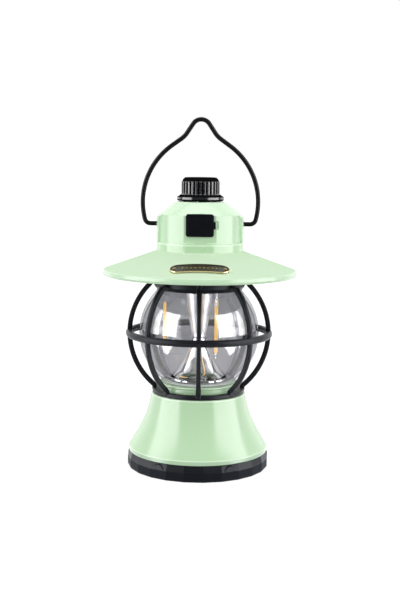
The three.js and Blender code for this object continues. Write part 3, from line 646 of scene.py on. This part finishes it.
def cage_half(side):
    """Side -1 is the lower half and 1 the upper: half of the equator band, eight ribs and an end ring."""
    seam = CAGE_Z + side * 0.06
    edge = CAGE_Z + side * 2.1
    shoulder = CAGE_Z + side * 1.1
    band = [(42.9, seam, 0), (46.35, seam, 0), (46.25, shoulder, 1.2), (45.35, edge, 0.5)]
    band = rounded([*band, (43.2, edge, 0.5)], step=14)
    parts = [lathe(band, 240)]
    if side < 0:
        ring = rounded([(25.2, 47.5, 0.4), (29.1, 47.5, 0.5), (29.0, 50.1, 0.7), (25.3, 50.1, 0.5)])
        rib = cage_rib(side, 51.4, 48.6)
    else:
        ring = rounded([(29.0, 119.2, 0.4), (31.4, 119.2, 0.5), (31.0, 121.0, 0.5), (29.0, 121.0, 0.4)])
        rib = cage_rib(side, 116.6, 119.9)
    parts.append(lathe(ring, 224))
    parts += [turned_about_z(rib, 45 * i) for i in range(8)]
    node = "cage_lower" if side < 0 else "cage_upper"
    make(f"{node}_half", *stack(parts), "black_plastic", BLACK, [node], sharp=40)


# ------ light
LOWER_TRUMPET = [
    (4.5, 81.6), (5.2, 79.0), (6.45, 74.7), (8.25, 70.7), (10.75, 66.7), (13.2, 62.9), (15.0, 60.6),
    (17.2, 58.9), (19.4, 57.8),
]
UPPER_TRUMPET = [
    (4.55, 85.6), (5.4, 89.3), (6.15, 93.5), (6.9, 98.3), (7.6, 103.3), (8.2, 107.6), (8.9, 111.4),
    (10.2, 114.4), (12.5, 116.6), (15.4, 117.9),
]


def trumpet(name, profile, finish, node):
    make(name, *lathe(profile, 160), "mirror_plate", finish, [node], sharp=40)


def reflectors():
    """Two hollow trumpets, waist to waist. The lower one ends in a bead inside the globe's opening."""
    outer = smooth_curve(LOWER_TRUMPET)
    bead = [(19.7, 57.4, 0.2), (19.7, 55.5, 0.2), (18.9, 55.3, 0.2), (18.6, 53.8, 0.2), (17.8, 53.8, 0)]
    rim = rounded([(*outer[-1], 0), *bead], closed=False)
    inner = [(r - 0.9, z - 0.5) for r, z in outer[::-4]]
    collar = [(3.6, 82.4), (4.2, 82.2)]
    trumpet("reflector_lower_mirror", [*collar, *outer[:-1], *rim, *inner], CHROME, "reflector_lower")
    outer = smooth_curve(UPPER_TRUMPET)
    inner = [(r - 1.1, z + 0.2) for r, z in outer[::-4] if z < 117.0]
    waist = [(3.5, 82.7), (4.0, 82.8), (3.95, 84.6), (4.4, 84.9)]
    mouth = [(15.5, 118.1), (14.5, 118.1)]
    trumpet("reflector_upper_mirror", [*waist, *outer, *mouth, *inner], CHROME_SATIN, "reflector_upper")


FILAMENT_R = 21.8


def filament():
    """An upright filament: a slim rounded bar with flat punched tabs at both ends, out on the X axis."""
    bar = denser([(0.0, 75.2), (0.0, 104.6)], 0.7, closed=False)
    section = [(x, y * 0.82) for x, y in circle(1.12, 20)]
    rings = []
    for i, (_, z) in enumerate(bar):
        taper = 0.55 + 0.45 * min(1, min(i, len(bar) - 1 - i) / 1.5)
        rings.append([(FILAMENT_R + y * taper, x * taper, z) for x, y in section])
    glow = skin(rings, cap_ends=True)
    tabs = []
    for low, high, hole in ((104.2, 110.5, 109.3), (73.5, 75.6, 74.3)):
        outline = [(-0.62, low, 0.2), (0.62, low, 0.2), (0.62, high, 0.6), (-0.62, high, 0.6)]
        blade = slab(rounded(outline), -0.14, 0.14, edge=0.05, steps=1)
        upright = Matrix(((0, 0, 1, FILAMENT_R), (1, 0, 0, 0), (0, 1, 0, 0), (0, 0, 0, 1)))
        tabs.append(moved(blade, upright))
        loop = [(FILAMENT_R, x, hole + y) for x, y in circle(0.42, 13)]
        tabs.append(tube(loop, circle(0.13, 6), (1, 0, 0), closed=True))
    return glow, stack(tabs)


FILAMENT_ANGLES = (59, 179, 299)


def light():
    """The filaments, with the wire that each hangs from and the wire that returns from its foot."""
    glow, tabs = filament()
    everything = stack([glow, tabs])
    parts = [0] * len(glow[1]) + [1] * len(tabs[1])
    hang = [(FILAMENT_R, 110.7, 0), (21.3, 113.6, 2.0), (17.0, 116.2, 1.0), (16.9, 118.4, 0)]
    lead = [(FILAMENT_R, 73.3, 0), (FILAMENT_R, 71.3, 1.3), (8.6, 71.3, 0)]
    look = {"slot": "filament", "finishes": [GLOW, LEAD], "parts": parts}
    for number, angle in enumerate(FILAMENT_ANGLES, 1):
        lit = turned_about_z(everything, angle)
        make(f"led_filament_lit_{number}", *lit, replaces=[f"led_filament_{number}"], **look)
        for label, corners in (("hanger", hang), ("return", lead)):
            path = denser(rounded(corners, closed=False), 0.5, closed=False)
            wire = tube([(r, 0, z) for r, z in path], circle(0.3, 10))
            name, node = f"filament_{label}_wire_{number}", f"filament_{label}_{number}"
            make(name, *turned_about_z(wire, angle), "steel", LEAD, [node])


def lamp_head():
    outline = [
        (24.9, 115.3, 0.1), (26.3, 113.35, 0.15), (26.9, 113.3, 0.3), (28.65, 115.7, 0.8),
        (28.7, 121.3, 0.15), (32.4, 121.3, 0.3), (32.4, 123.5, 0.5), (26.1, 123.9, 0.5),
        (26.0, 136.7, 0.1), (23.8, 136.7, 0.1), (23.8, 122.0, 0.2), (3.4, 122.0, 0.1),
        (3.4, 119.8, 0.1), (24.6, 119.8, 0.3),
    ]
    outline = rounded(outline)
    make("lamp_head_collar", *lathe(outline, 224), "black_plastic", BLACK, ["lamp_head"], sharp=40)


# ------ brim and plate
SLOPE = 0.353
CONE_TOP = (30.4, 136.25)


def cone_z(radius):
    return CONE_TOP[1] - SLOPE * (radius - CONE_TOP[0])


def brim():
    """The sloping brim with its turned-down lip and the short neck that the cap stands on."""
    outline = [
        (15.6, 137.0, 0.1), (26.3, 137.0, 0.2), (26.4, cone_z(26.4) - 2.1, 0.8),
        (57.6, cone_z(57.6) - 2.1, 1.2), (58.4, 122.25, 0.3), (60.35, 122.2, 0.5),
        (61.0, 123.6, 1.0), (60.55, 125.7, 1.3), (58.9, cone_z(58.9), 0.9),
        (27.1, cone_z(27.1) + 0.1, 1.5), (27.1, 140.2, 3.0), (27.25, 143.1, 1.7),
        (26.25, 143.15, 0.1), (26.2, 142.5, 0.1), (25.2, 142.5, 0.1), (25.0, 139.0, 0.2),
        (15.6, 139.0, 0.1),
    ]
    outline = rounded(outline, step=8)
    points, faces = lathe(denser(outline, 0.8), 320)
    radius, height = where(points, faces)
    # the slope is in a mint painted lighter, the neck in the plain mint, the neck's top ledge in the mint
    # with the painted highlight, and the lip in the cap's mint painted lighter
    parts = ((radius < 28.6) & (height > 137.9)).astype(int)
    parts[(radius < 28.6) & (height > 141.9)] = 2
    parts[radius > 60.1] = 3
    finishes = [MINT_BRIM_PAINTED_LIGHTER, MINT, MINT_PAINTED_HIGHLIGHT, MINT_HEAD_PAINTED_LIGHTER]
    look = {"slot": "mint_plastic", "finishes": finishes, "parts": parts, "sharp": 50}
    make("shade_brim_cone", points, faces, replaces=["shade_brim"], **look)


PLATE_R = 47.3


def on_cone(x, y, lift):
    """Lays points drawn flat round the plate's centre onto the cone, lifted off it."""
    x, y, lift = np.broadcast_arrays(np.asarray(x, float), np.asarray(y, float), np.asarray(lift, float))
    tilt = math.atan(SLOPE)
    flat_y = -PLATE_R + y
    radius = np.hypot(x, flat_y)
    out = radius + lift * math.sin(tilt)
    up = cone_z(radius) + lift * math.cos(tilt)
    heading = np.arctan2(flat_y, x)
    return np.stack([out * np.cos(heading), out * np.sin(heading), up], -1)


def stadium(length, width, step=8):
    reach = (length - width) / 2
    ends = []
    for centre, start in ((reach, -90), (-reach, 90)):
        for i in range(0, 180 + step, step):
            a = math.radians(start + min(i, 180))
            ends.append((centre + width / 2 * math.cos(a), width / 2 * math.sin(a)))
    return ends


def cone_plate(outline, low, high, edge):
    """A small plate laid on the cone."""
    points, faces = slab(denser(outline, 0.9), low, high, edge)
    return on_cone(points[:, 0], points[:, 1], points[:, 2]), faces


def strip_grid(length, width, lift, columns=48, rows=10):
    """A stadium-shaped sheet laid on the cone, as a bendable grid."""
    points, faces = [], []
    for i in range(columns + 1):
        u = -1 + 2 * i / columns
        x = length / 2 * math.sin(u * math.pi / 2)
        reach = (length - width) / 2
        over = max(0.0, abs(x) - reach)
        half = math.sqrt(max(0.0, (width / 2) ** 2 - over**2))
        for j in range(rows + 1):
            points.append((x, half * (-1 + 2 * j / rows)))
    for i in range(columns):
        for j in range(rows):
            a = i * (rows + 1) + j
            faces.append([a, a + rows + 1, a + rows + 2, a + 1])
    points = np.array(points)
    return on_cone(points[:, 0], points[:, 1], np.full(len(points), lift)), faces


def band_loft(outline, profile):
    """Sweeps a profile of (inset, lift) round an outline on the cone."""
    outline = np.array(outline, float)
    along = np.roll(outline, -1, 0) - np.roll(outline, 1, 0)
    normal = np.stack([along[:, 1], -along[:, 0]], 1)
    normal /= np.linalg.norm(normal, axis=1)[:, None]
    inset = [(outline - normal * inwards, lift) for inwards, lift in profile]
    return skin([on_cone(flat[:, 0], flat[:, 1], lift) for flat, lift in inset])


def name_plate():
    """A curved plate with a raised border and a sunk field. The border's outer wall is worn to brass."""
    length, width = 35.0, 9.6
    outline = denser(stadium(length, width), 0.7)
    low = 0.3
    wall = [(0.7, low), (0.1, low + 0.05), (0.0, low + 0.2), (0.0, 1.1), (0.12, 1.3)]
    border = [*wall, (0.35, 1.36), (0.75, 1.36), (0.95, 1.28), (1.05, 1.02)]
    rim = band_loft(outline, border)
    field = strip_grid(length - 2.1, width - 2.1, 1.02)
    back = strip_grid(length - 1.4, width - 1.4, low)
    points, faces = stack([rim, field, back])
    worn = (len(wall) - 1) * len(outline)
    parts = [1] * worn + [0] * (len(faces) - worn)
    look = {"slot": "bronze", "finishes": [BRONZE, BRASS], "parts": parts, "sharp": 45}
    make("name_plate_body", points, faces, replaces=["name_plate"], **look)


def plate_relief():
    """A plain pattern in the plate's field: a row of lozenges between short bars."""
    shapes = []
    for i in range(-4, 5):
        x = i * 2.5
        shapes.append(rounded([(x - 0.85, 0, 0.1), (x, -0.95, 0.1), (x + 0.85, 0, 0.1), (x, 0.95, 0.1)]))
        shapes += [box_outline(x, side * 1.95, 0.75, 0.17, 0.1) for side in (-1, 1)]
    raised = [cone_plate(shape, 0.95, 1.3, 0.1) for shape in shapes]
    make("name_plate_relief", *stack(raised), "bronze", BRONZE_WORN)


PIN_X = 14.9


def plate_pins():
    for number, side in enumerate((-1, 1), 1):
        rows = [(0.0, 1.85), (0.5, 1.8), (0.95, 1.6), (1.15, 1.3), (1.15, 1.0)]
        points, faces = lathe(rows, 28, closed=False)
        laid = on_cone(points[:, 0] + side * PIN_X, points[:, 1], points[:, 2])
        node = f"plate_pin_{number}"
        make(f"plate_pin_head_{number}", laid, faces, "bronze", BRONZE_WORN, [node], sharp=50)


# ------ cap
CAP_R = 26.15
CAP_TOP = 168.3
PORT_Y = -24.2
PORT_Z = 154.7
PIVOT_Z = 154.4
PAD_HALF, PAD_REACH, PAD_CORNER = 8.6, 27.3, 1.9


def cap_outline_angles():
    """Angles round the cap, close together where the window, the pads and the pivots are."""
    spots = []
    for centre in (-90, 90):
        for side in (-1, 1):
            spots += list(centre + side * np.linspace(64, 82, 60))
            spots += list(centre + side * np.linspace(84, 90, 24))
    spots += list(-90 + np.linspace(-24, 24, 110))
    spots += list(np.linspace(-180, 180, 241))
    fixed = sorted(set(np.round(np.mod(spots, 360), 3)))
    kept = [fixed[0]]
    for angle in fixed[1:]:
        if angle - kept[-1] > 0.12:
            kept.append(angle)
    return np.radians(kept)


def cap_rows():
    """Heights and radii of the cap's plain profile from its floor up, dense near each edge."""
    path = [
        (25.2, 142.6, 0), (25.95, 142.6, 0.25), (CAP_R, 143.2, 0.4), (CAP_R, 160.3, 0.7),
        (16.1, 168.05, 0.5), (15.7, CAP_TOP, 0.2), (4.0, CAP_TOP, 0.0),
    ]
    path = rounded(path, closed=False, step=9)
    return denser(path, 0.32, closed=False)


def pad_gain(angles, radius):
    """How far the side pads stand out from the cap, along each direction."""
    a, b = np.abs(np.cos(angles)), np.abs(np.sin(angles))
    to_side = PAD_REACH / np.maximum(a, 1e-6)
    to_front = PAD_HALF / np.maximum(b, 1e-6)
    reach = np.minimum(to_side, to_front)
    corner_x, corner_y = PAD_REACH - PAD_CORNER, PAD_HALF - PAD_CORNER
    dot = a * corner_x + b * corner_y
    root = dot**2 - (corner_x**2 + corner_y**2 - PAD_CORNER**2)
    in_corner = (to_side * b > corner_y) & (to_front * a > corner_x)
    reach = np.where(in_corner & (root > 0), dot + np.sqrt(np.maximum(root, 0)), reach)
    return np.maximum(np.minimum(reach, PAD_REACH + 0.2) - radius, 0)


def cap_ring(angles, radius, height):
    """One level of the cap's wall."""
    front = (angles + math.pi / 2 + math.pi) % TURN - math.pi
    x, y = radius * np.cos(angles), radius * np.sin(angles)
    pad_on = smoothstep(height, 143.0, 143.35) * (1 - smoothstep(height, 158.7, 160.3))
    gain = pad_gain(angles, radius) * pad_on
    x, y = x + gain * np.cos(angles), y + gain * np.sin(angles)
    # pivot dimples in the pads
    for side in (-1, 1):
        near = np.hypot(y, height - PIVOT_Z)
        x = x - side * 1.6 * (1 - smoothstep(near, 1.62, 1.95)) * (x * side > 20)
    # front window: everything forward of the port's flat is cut back to it
    ahead = (y < PORT_Y) & (np.abs(front) < 0.5)
    y = y + np.where(ahead, PORT_Y - y, 0) * smoothstep(height, 143.95, 144.2)
    # finger notch beside the cover's pull tab
    notch = smoothstep(x, 8.3, 8.5) * (1 - smoothstep(x, 10.5, 10.8))
    notch = notch * smoothstep(height, 152.3, 152.6) * (1 - smoothstep(height, 156.9, 157.2))
    sunk = y + 0.9 * notch + np.maximum(PORT_Y - y, 0) * notch
    y = np.where(np.abs(front) < 0.6, sunk, y)
    return np.stack([x, y, np.full(len(x), height)], 1)


def cap_housing():
    """The cap with its side pads and front window, and the lining of the charging port's opening."""
    angles = cap_outline_angles()
    points, faces = skin([cap_ring(angles, radius, height) for radius, height in cap_rows()])
    centre = np.array([points[face].mean(0) for face in faces])
    in_port = (np.abs(centre[:, 0]) < 7.1) & (np.abs(centre[:, 2] - PORT_Z) < 5.6) & (centre[:, 1] < -20)
    faces = [face for face, gone in zip(faces, in_port) if not gone]
    lining = rounded([(7.35, 148.85, 0.6), (7.35, 160.5, 0.6), (-7.35, 160.5, 0.6), (-7.35, 148.85, 0.6)])
    inside = [(x * 0.965, z + (PORT_Z - z) * 0.045) for x, z in lining]
    levels = [(lining, PORT_Y), (inside, PORT_Y), (inside, PORT_Y + 2.6)]
    sleeve = skin([[(x, depth, z) for x, z in outline] for outline, depth in levels])
    body = stack([(points, faces), sleeve])
    # the whole cap is in the mint painted lighter
    make("cap_housing_body", *body, "mint_plastic", MINT_HEAD_PAINTED_LIGHTER, ["cap_housing"], sharp=42)


def across_port(outline, levels, middle=0.0):
    """A closed solid from an outline in XZ, drawn at several depths and scaled in X and Z at each."""
    rings = []
    for y, wide, high in levels:
        rings.append([(middle + (x - middle) * wide, y, PORT_Z + (z - PORT_Z) * high) for x, z in outline])
    return skin(rings, cap_ends=True)


def port_block(outline, *depths):
    return across_port(outline, [(y, 1.0, 1.0) for y in depths])


COVER_X = -0.2


def port_cover():
    """The rubber cover, built as one stiff piece: the real one has a fixed root and bends at a living hinge
    along its left edge.
    """
    back, front = PORT_Y - 0.1, PORT_Y - 1.6
    half_width, half_height = 8.5, 6.9
    outline = box_outline(COVER_X, PORT_Z, half_width, half_height, 1.5, step=9)
    edge = [(back, 0.25), (back - 0.2, 0.0), (front + 0.45, 0.0), (front + 0.2, 0.1), (front + 0.05, 0.3)]
    panel = [(front, 0.6), (front, 1.1), (front + 0.22, 1.3), (front + 0.22, 1.6)]
    levels = [(y, 1 - inset / half_width, 1 - inset / half_height) for y, inset in [*edge, *panel]]
    body = across_port(outline, levels, COVER_X)
    plug = box_outline(0.0, PORT_Z, 6.5, 5.2, 1.0)
    plug = across_port(plug, [(back - 0.2, 1.0, 1.0), (back + 0.9, 1.0, 1.0), (back + 1.15, 0.97, 0.97)])
    tab = rounded([(7.9, 152.4, 0.3), (9.4, 152.4, 0.7), (9.4, 157.0, 0.7), (7.9, 157.0, 0.3)])
    tab = port_block(tab, back - 0.25, back - 0.35, front + 0.35, front + 0.25)
    marks = []
    for z in (157.0, 154.7, 152.4):
        for i in range(-2, 3):
            mark = box_outline(COVER_X + i * 2.0, z, 0.7, 0.3, 0.25)
            marks.append(port_block(mark, front + 0.25, front + 0.12))
    points, faces = stack([body, plug, tab, *marks])
    look = {"slot": "black_rubber", "finishes": COVER_RUBBER, "sharp": 40, "weld": False}
    made = build("port_cover_rubber", points, faces, replaces=["port_cover", "cover_anchor"], **look)
    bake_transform(made)


# ------ knob and bail
def knob():
    """The fluted grip over a flared skirt, hollow underneath round the dimmer's nut."""
    flutes = 28
    outline = [
        (0.0, 183.25, 0), (8.4, 183.4, 0.6), (9.9, 183.3, 0.5), (11.2, 181.9, 0.5),
        (11.35, 181.2, 0.2), (11.95, 180.7, 0.5), (11.95, 173.3, 0.4), (13.1, 172.2, 0.8),
        (14.65, 171.25, 0.2), (14.75, 169.6, 0.5), (14.0, 168.75, 0.3), (12.5, 168.75, 0.2),
        (12.3, 169.8, 0.2), (10.6, 171.7, 0.3), (3.1, 171.7, 0.1), (3.1, 179.5, 0), (0.0, 179.5, 0),
    ]
    outline = rounded(outline, closed=False, step=14)
    outline = denser(outline, 0.7, closed=False)

    def shape(r, z, angle):
        wave = 0.5 + 0.5 * np.cos(flutes * angle)
        ridge = smoothstep(wave, 0.1, 0.8)
        on = smoothstep(r, 11.5, 11.9) * smoothstep(z, 172.9, 173.5) * (1 - smoothstep(z, 180.3, 181.0))
        return r - 0.75 * (1 - ridge) * on, z

    points, faces = lathe(outline, flutes * 16, shape, closed=False)
    radius, height = where(points, faces)
    parts = ((radius > 11.6) & (height > 172.9) & (height < 181.1)).astype(int)
    parts[(radius > 14.5) & (height > 170.1) & (height < 171.1)] = 2
    finishes = [BLACK_MATT, BLACK_GLOSS, BLACK_RIM]
    look = {"slot": "black_plastic", "finishes": finishes, "parts": parts, "sharp": 38}
    make("dimmer_knob_fluted", points, faces, body="dimmer", replaces=["dimmer_knob"], **look)


def bail():
    """The wire from pad to pad, upright at rest, with a crest in the middle."""
    corners = [
        (23.3, 0, 0), (34.1, 0, 3.6), (41.8, 31.55, 43.2), (10.2, 54.2, 14.0), (0.0, 69.6, 6.0),
        (-10.2, 54.2, 14.0), (-41.8, 31.55, 43.2), (-34.1, 0, 3.6), (-23.3, 0, 0),
    ]
    path = denser(rounded(corners, closed=False, step=3, share=0.95), 1.6, closed=False)
    wire = tube([(x, 0.0, PIVOT_Z + z) for x, z in path], circle(1.45, 28))
    make("handle_bail_wire", *wire, "black_wire", WIRE, ["handle_bail"], body="bail", sharp=50)


foot_ring()
base_plate()
base_screws()
base_shell()
globe_seat()
gasket("globe_gasket_lower_ring", 19.9, 22.9, 54.15, 54.95, "globe_gasket_lower")
gasket("globe_gasket_upper_ring", 17.8, 20.9, 117.25, 118.25, "globe_gasket_upper")
globe()
cage_half(-1)
cage_half(1)
reflectors()
light()
lamp_head()
brim()
name_plate()
plate_relief()
plate_pins()
cap_housing()
port_cover()
knob()
bail()

# CAD nodes whose shape is right keep it and get a finish
FINISHES = {
    BLACK: ["battery_cradle"],
    BOARD: ["charge_board", "filament_board", "driver_board", "port_board"],
    STEEL: [
        *["tube_nut_lower", "tube_nut_upper", "centre_tube", "usb_a_socket", "usb_c_socket"],
        *["dimmer_body", "dimmer_nut", "dimmer_shaft"],
        *[f"head_screw_{i}" for i in range(1, 5)],
    ],
    WRAP: ["battery_cell_1", "battery_cell_2"],
    RED: ["cable_red"],
    RUBBER: ["cable_black"],
}
for finish, names in FINISHES.items():
    for name in names:
        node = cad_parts[name]
        node.data.materials.clear()
        node.data.materials.append(finish)
        edge = node.modifiers.new("edges", "BEVEL")
        edge.width = 0.12 * MM
        edge.segments = 2
        edge.limit_method = "ANGLE"
        edge.angle_limit = math.radians(50)


# ------ floor, light, camera
def floor():
    """A pale table that glows. From above it is paper white; reflections look through it to the room."""
    made, tree, output = new_material("floor_paper")
    seen = add_node(tree, "ShaderNodeLightPath").outputs["Is Camera Ray"]
    below = add_node(tree, "ShaderNodeNewGeometry").outputs["Backfacing"]
    from_above = {"operation": "SUBTRACT", "use_clamp": True}
    solid = add_node(tree, "ShaderNodeMath", {0: seen, 1: below}, **from_above).outputs[0]
    pale = add_node(
        tree,
        "ShaderNodeBsdfPrincipled",
        {
            "Base Color": (0.3, 0.3, 0.3, 1),
            "Roughness": 0.7,
            "Specular IOR Level": 0.0,
            "Emission Color": (1, 1, 1, 1),
            "Emission Strength": 0.8,
        },
    )
    clear = add_node(tree, "ShaderNodeBsdfTransparent")
    pick = add_node(tree, "ShaderNodeMixShader", {0: solid, 1: clear.outputs[0], 2: pale.outputs[0]})
    tree.links.new(pick.outputs[0], output.inputs[0])
    data = bpy.data.meshes.new("floor")
    size = 6.0
    corners = [(-size, -size, 0), (size, -size, 0), (size, size, 0), (-size, size, 0)]
    data.from_pydata(corners, [], [(0, 1, 2, 3)])
    data.materials.append(made)
    add_to_scene("floor", data)


def times(tree, first, second):
    return math_node(tree, "MULTIPLY", first, second)


SOFTBOX_SLOPE = 0.75


def softbox(tree, azimuth, elevation, inner, middle, outer, low, high):
    """A tall soft light as the object sees it, in degrees: from the inner to the outer azimuth, with a
    straight top and a bottom that comes to a point under the middle."""
    near = fade(tree, azimuth, inner * 0.97, inner * 1.03)
    far = fade(tree, azimuth, outer * 1.05, outer * 0.97)
    sides = times(tree, near, far)
    off_middle = math_node(tree, "ABSOLUTE", math_node(tree, "SUBTRACT", azimuth, middle))
    raised = math_node(tree, "SUBTRACT", elevation, times(tree, off_middle, SOFTBOX_SLOPE))
    bottom, top = fade(tree, raised, low - 3, low + 1), fade(tree, elevation, high + 8, high - 4)
    return times(tree, sides, times(tree, bottom, top))


SOFTBOX, BACK_CEILING, CEILING, GROUND_LIGHT = 12.0, 7.5, 2.2, 2.2
WALL, WALL_ASIDE, DARK_WALL = 1.05, 1.3, 0.04
EVEN_BELOW, EVEN_RISE = 0.68, 0.48


def studio():
    """The room: even light for matt surfaces, and for shiny ones two tall softboxes at the sides, a
    bright ceiling towards the back, a light back wall and a dark wall behind the camera, which itself
    sees plain white."""
    world = bpy.data.worlds.new("studio")
    world.use_nodes = True
    world.cycles.sampling_method = "NONE"
    tree = world.node_tree
    tree.nodes.clear()
    output = tree.nodes.new("ShaderNodeOutputWorld")
    ray = add_node(tree, "ShaderNodeLightPath")
    place = add_node(tree, "ShaderNodeTexCoord")
    x, y, z = add_node(tree, "ShaderNodeSeparateXYZ", {"Vector": place.outputs["Generated"]}).outputs
    towards = times(tree, y, -1.0)
    azimuth = math_node(tree, "DEGREES", math_node(tree, "ARCTAN2", x, towards))
    elevation = math_node(tree, "DEGREES", math_node(tree, "ARCSINE", z))
    left = softbox(tree, azimuth, elevation, -44.0, -71.0, -98.0, -33.0, 40.0)
    right = softbox(tree, azimuth, elevation, 38.0, 70.0, 98.0, -33.0, 40.0)
    boxes = times(tree, math_node(tree, "ADD", left, right), SOFTBOX)
    up = math_node(tree, "MAXIMUM", z, 0.0)
    back_ceiling = times(tree, math_node(tree, "POWER", up, 3.0), BACK_CEILING)
    back_ceiling = times(tree, back_ceiling, fade(tree, y, -0.25, 0.15))
    ceiling = math_node(tree, "MAXIMUM", back_ceiling, times(tree, up, CEILING))
    outwards = fade(tree, math_node(tree, "ABSOLUTE", x), 0.3, 0.7)
    aside = times(tree, outwards, fade(tree, z, 0.6, -0.1))
    wall = math_node(tree, "MULTIPLY_ADD", aside, WALL_ASIDE, WALL)
    wall = math_node(tree, "MULTIPLY_ADD", fade(tree, y, -0.6, 0.2), wall, DARK_WALL)
    ground = times(tree, fade(tree, z, -0.08, -0.35), GROUND_LIGHT)
    room = math_node(tree, "MAXIMUM", math_node(tree, "ADD", ceiling, wall), ground)
    shiny = math_node(tree, "MAXIMUM", boxes, room)
    even = math_node(tree, "MULTIPLY_ADD", fade(tree, z, -0.4, 0.3), EVEN_RISE, EVEN_BELOW)
    matt_ray = ray.outputs["Is Diffuse Ray"]
    lit = add_node(tree, "ShaderNodeMix", {"Factor": matt_ray, "A": shiny, "B": even}).outputs["Result"]
    seen = {"Factor": ray.outputs["Is Camera Ray"], "A": lit, "B": 1.0}
    strength = add_node(tree, "ShaderNodeMix", seen).outputs["Result"]
    light = add_node(tree, "ShaderNodeBackground", {"Color": (1, 1, 1, 1), "Strength": strength})
    tree.links.new(light.outputs[0], output.inputs[0])
    bpy.context.scene.world = world


CAMERA_DISTANCE = 694.76
CAMERA_DOWN, CAMERA_ROLL = 7.28, 0.65


def camera():
    lens = bpy.data.cameras.new("camera")
    lens.lens = 65.8
    lens.clip_start, lens.clip_end = 0.01, 50
    eye = add_to_scene("camera", lens)
    down, roll = math.radians(CAMERA_DOWN), math.radians(CAMERA_ROLL)
    target = Vector((0.4, 0, 106.1)) * MM
    ahead = Vector((0, math.cos(down), -math.sin(down)))
    eye.location = target - ahead * CAMERA_DISTANCE * MM
    eye.rotation_mode = "QUATERNION"
    level = ahead.to_track_quat("-Z", "Y")
    eye.rotation_quaternion = level @ Matrix.Rotation(roll, 3, "Z").to_quaternion()
    bpy.context.scene.camera = eye


floor()
studio()
camera()
view = bpy.context.scene.view_settings
view.view_transform = "Standard"
view.look = "None"
view.exposure = 0.0
view.gamma = 1.0
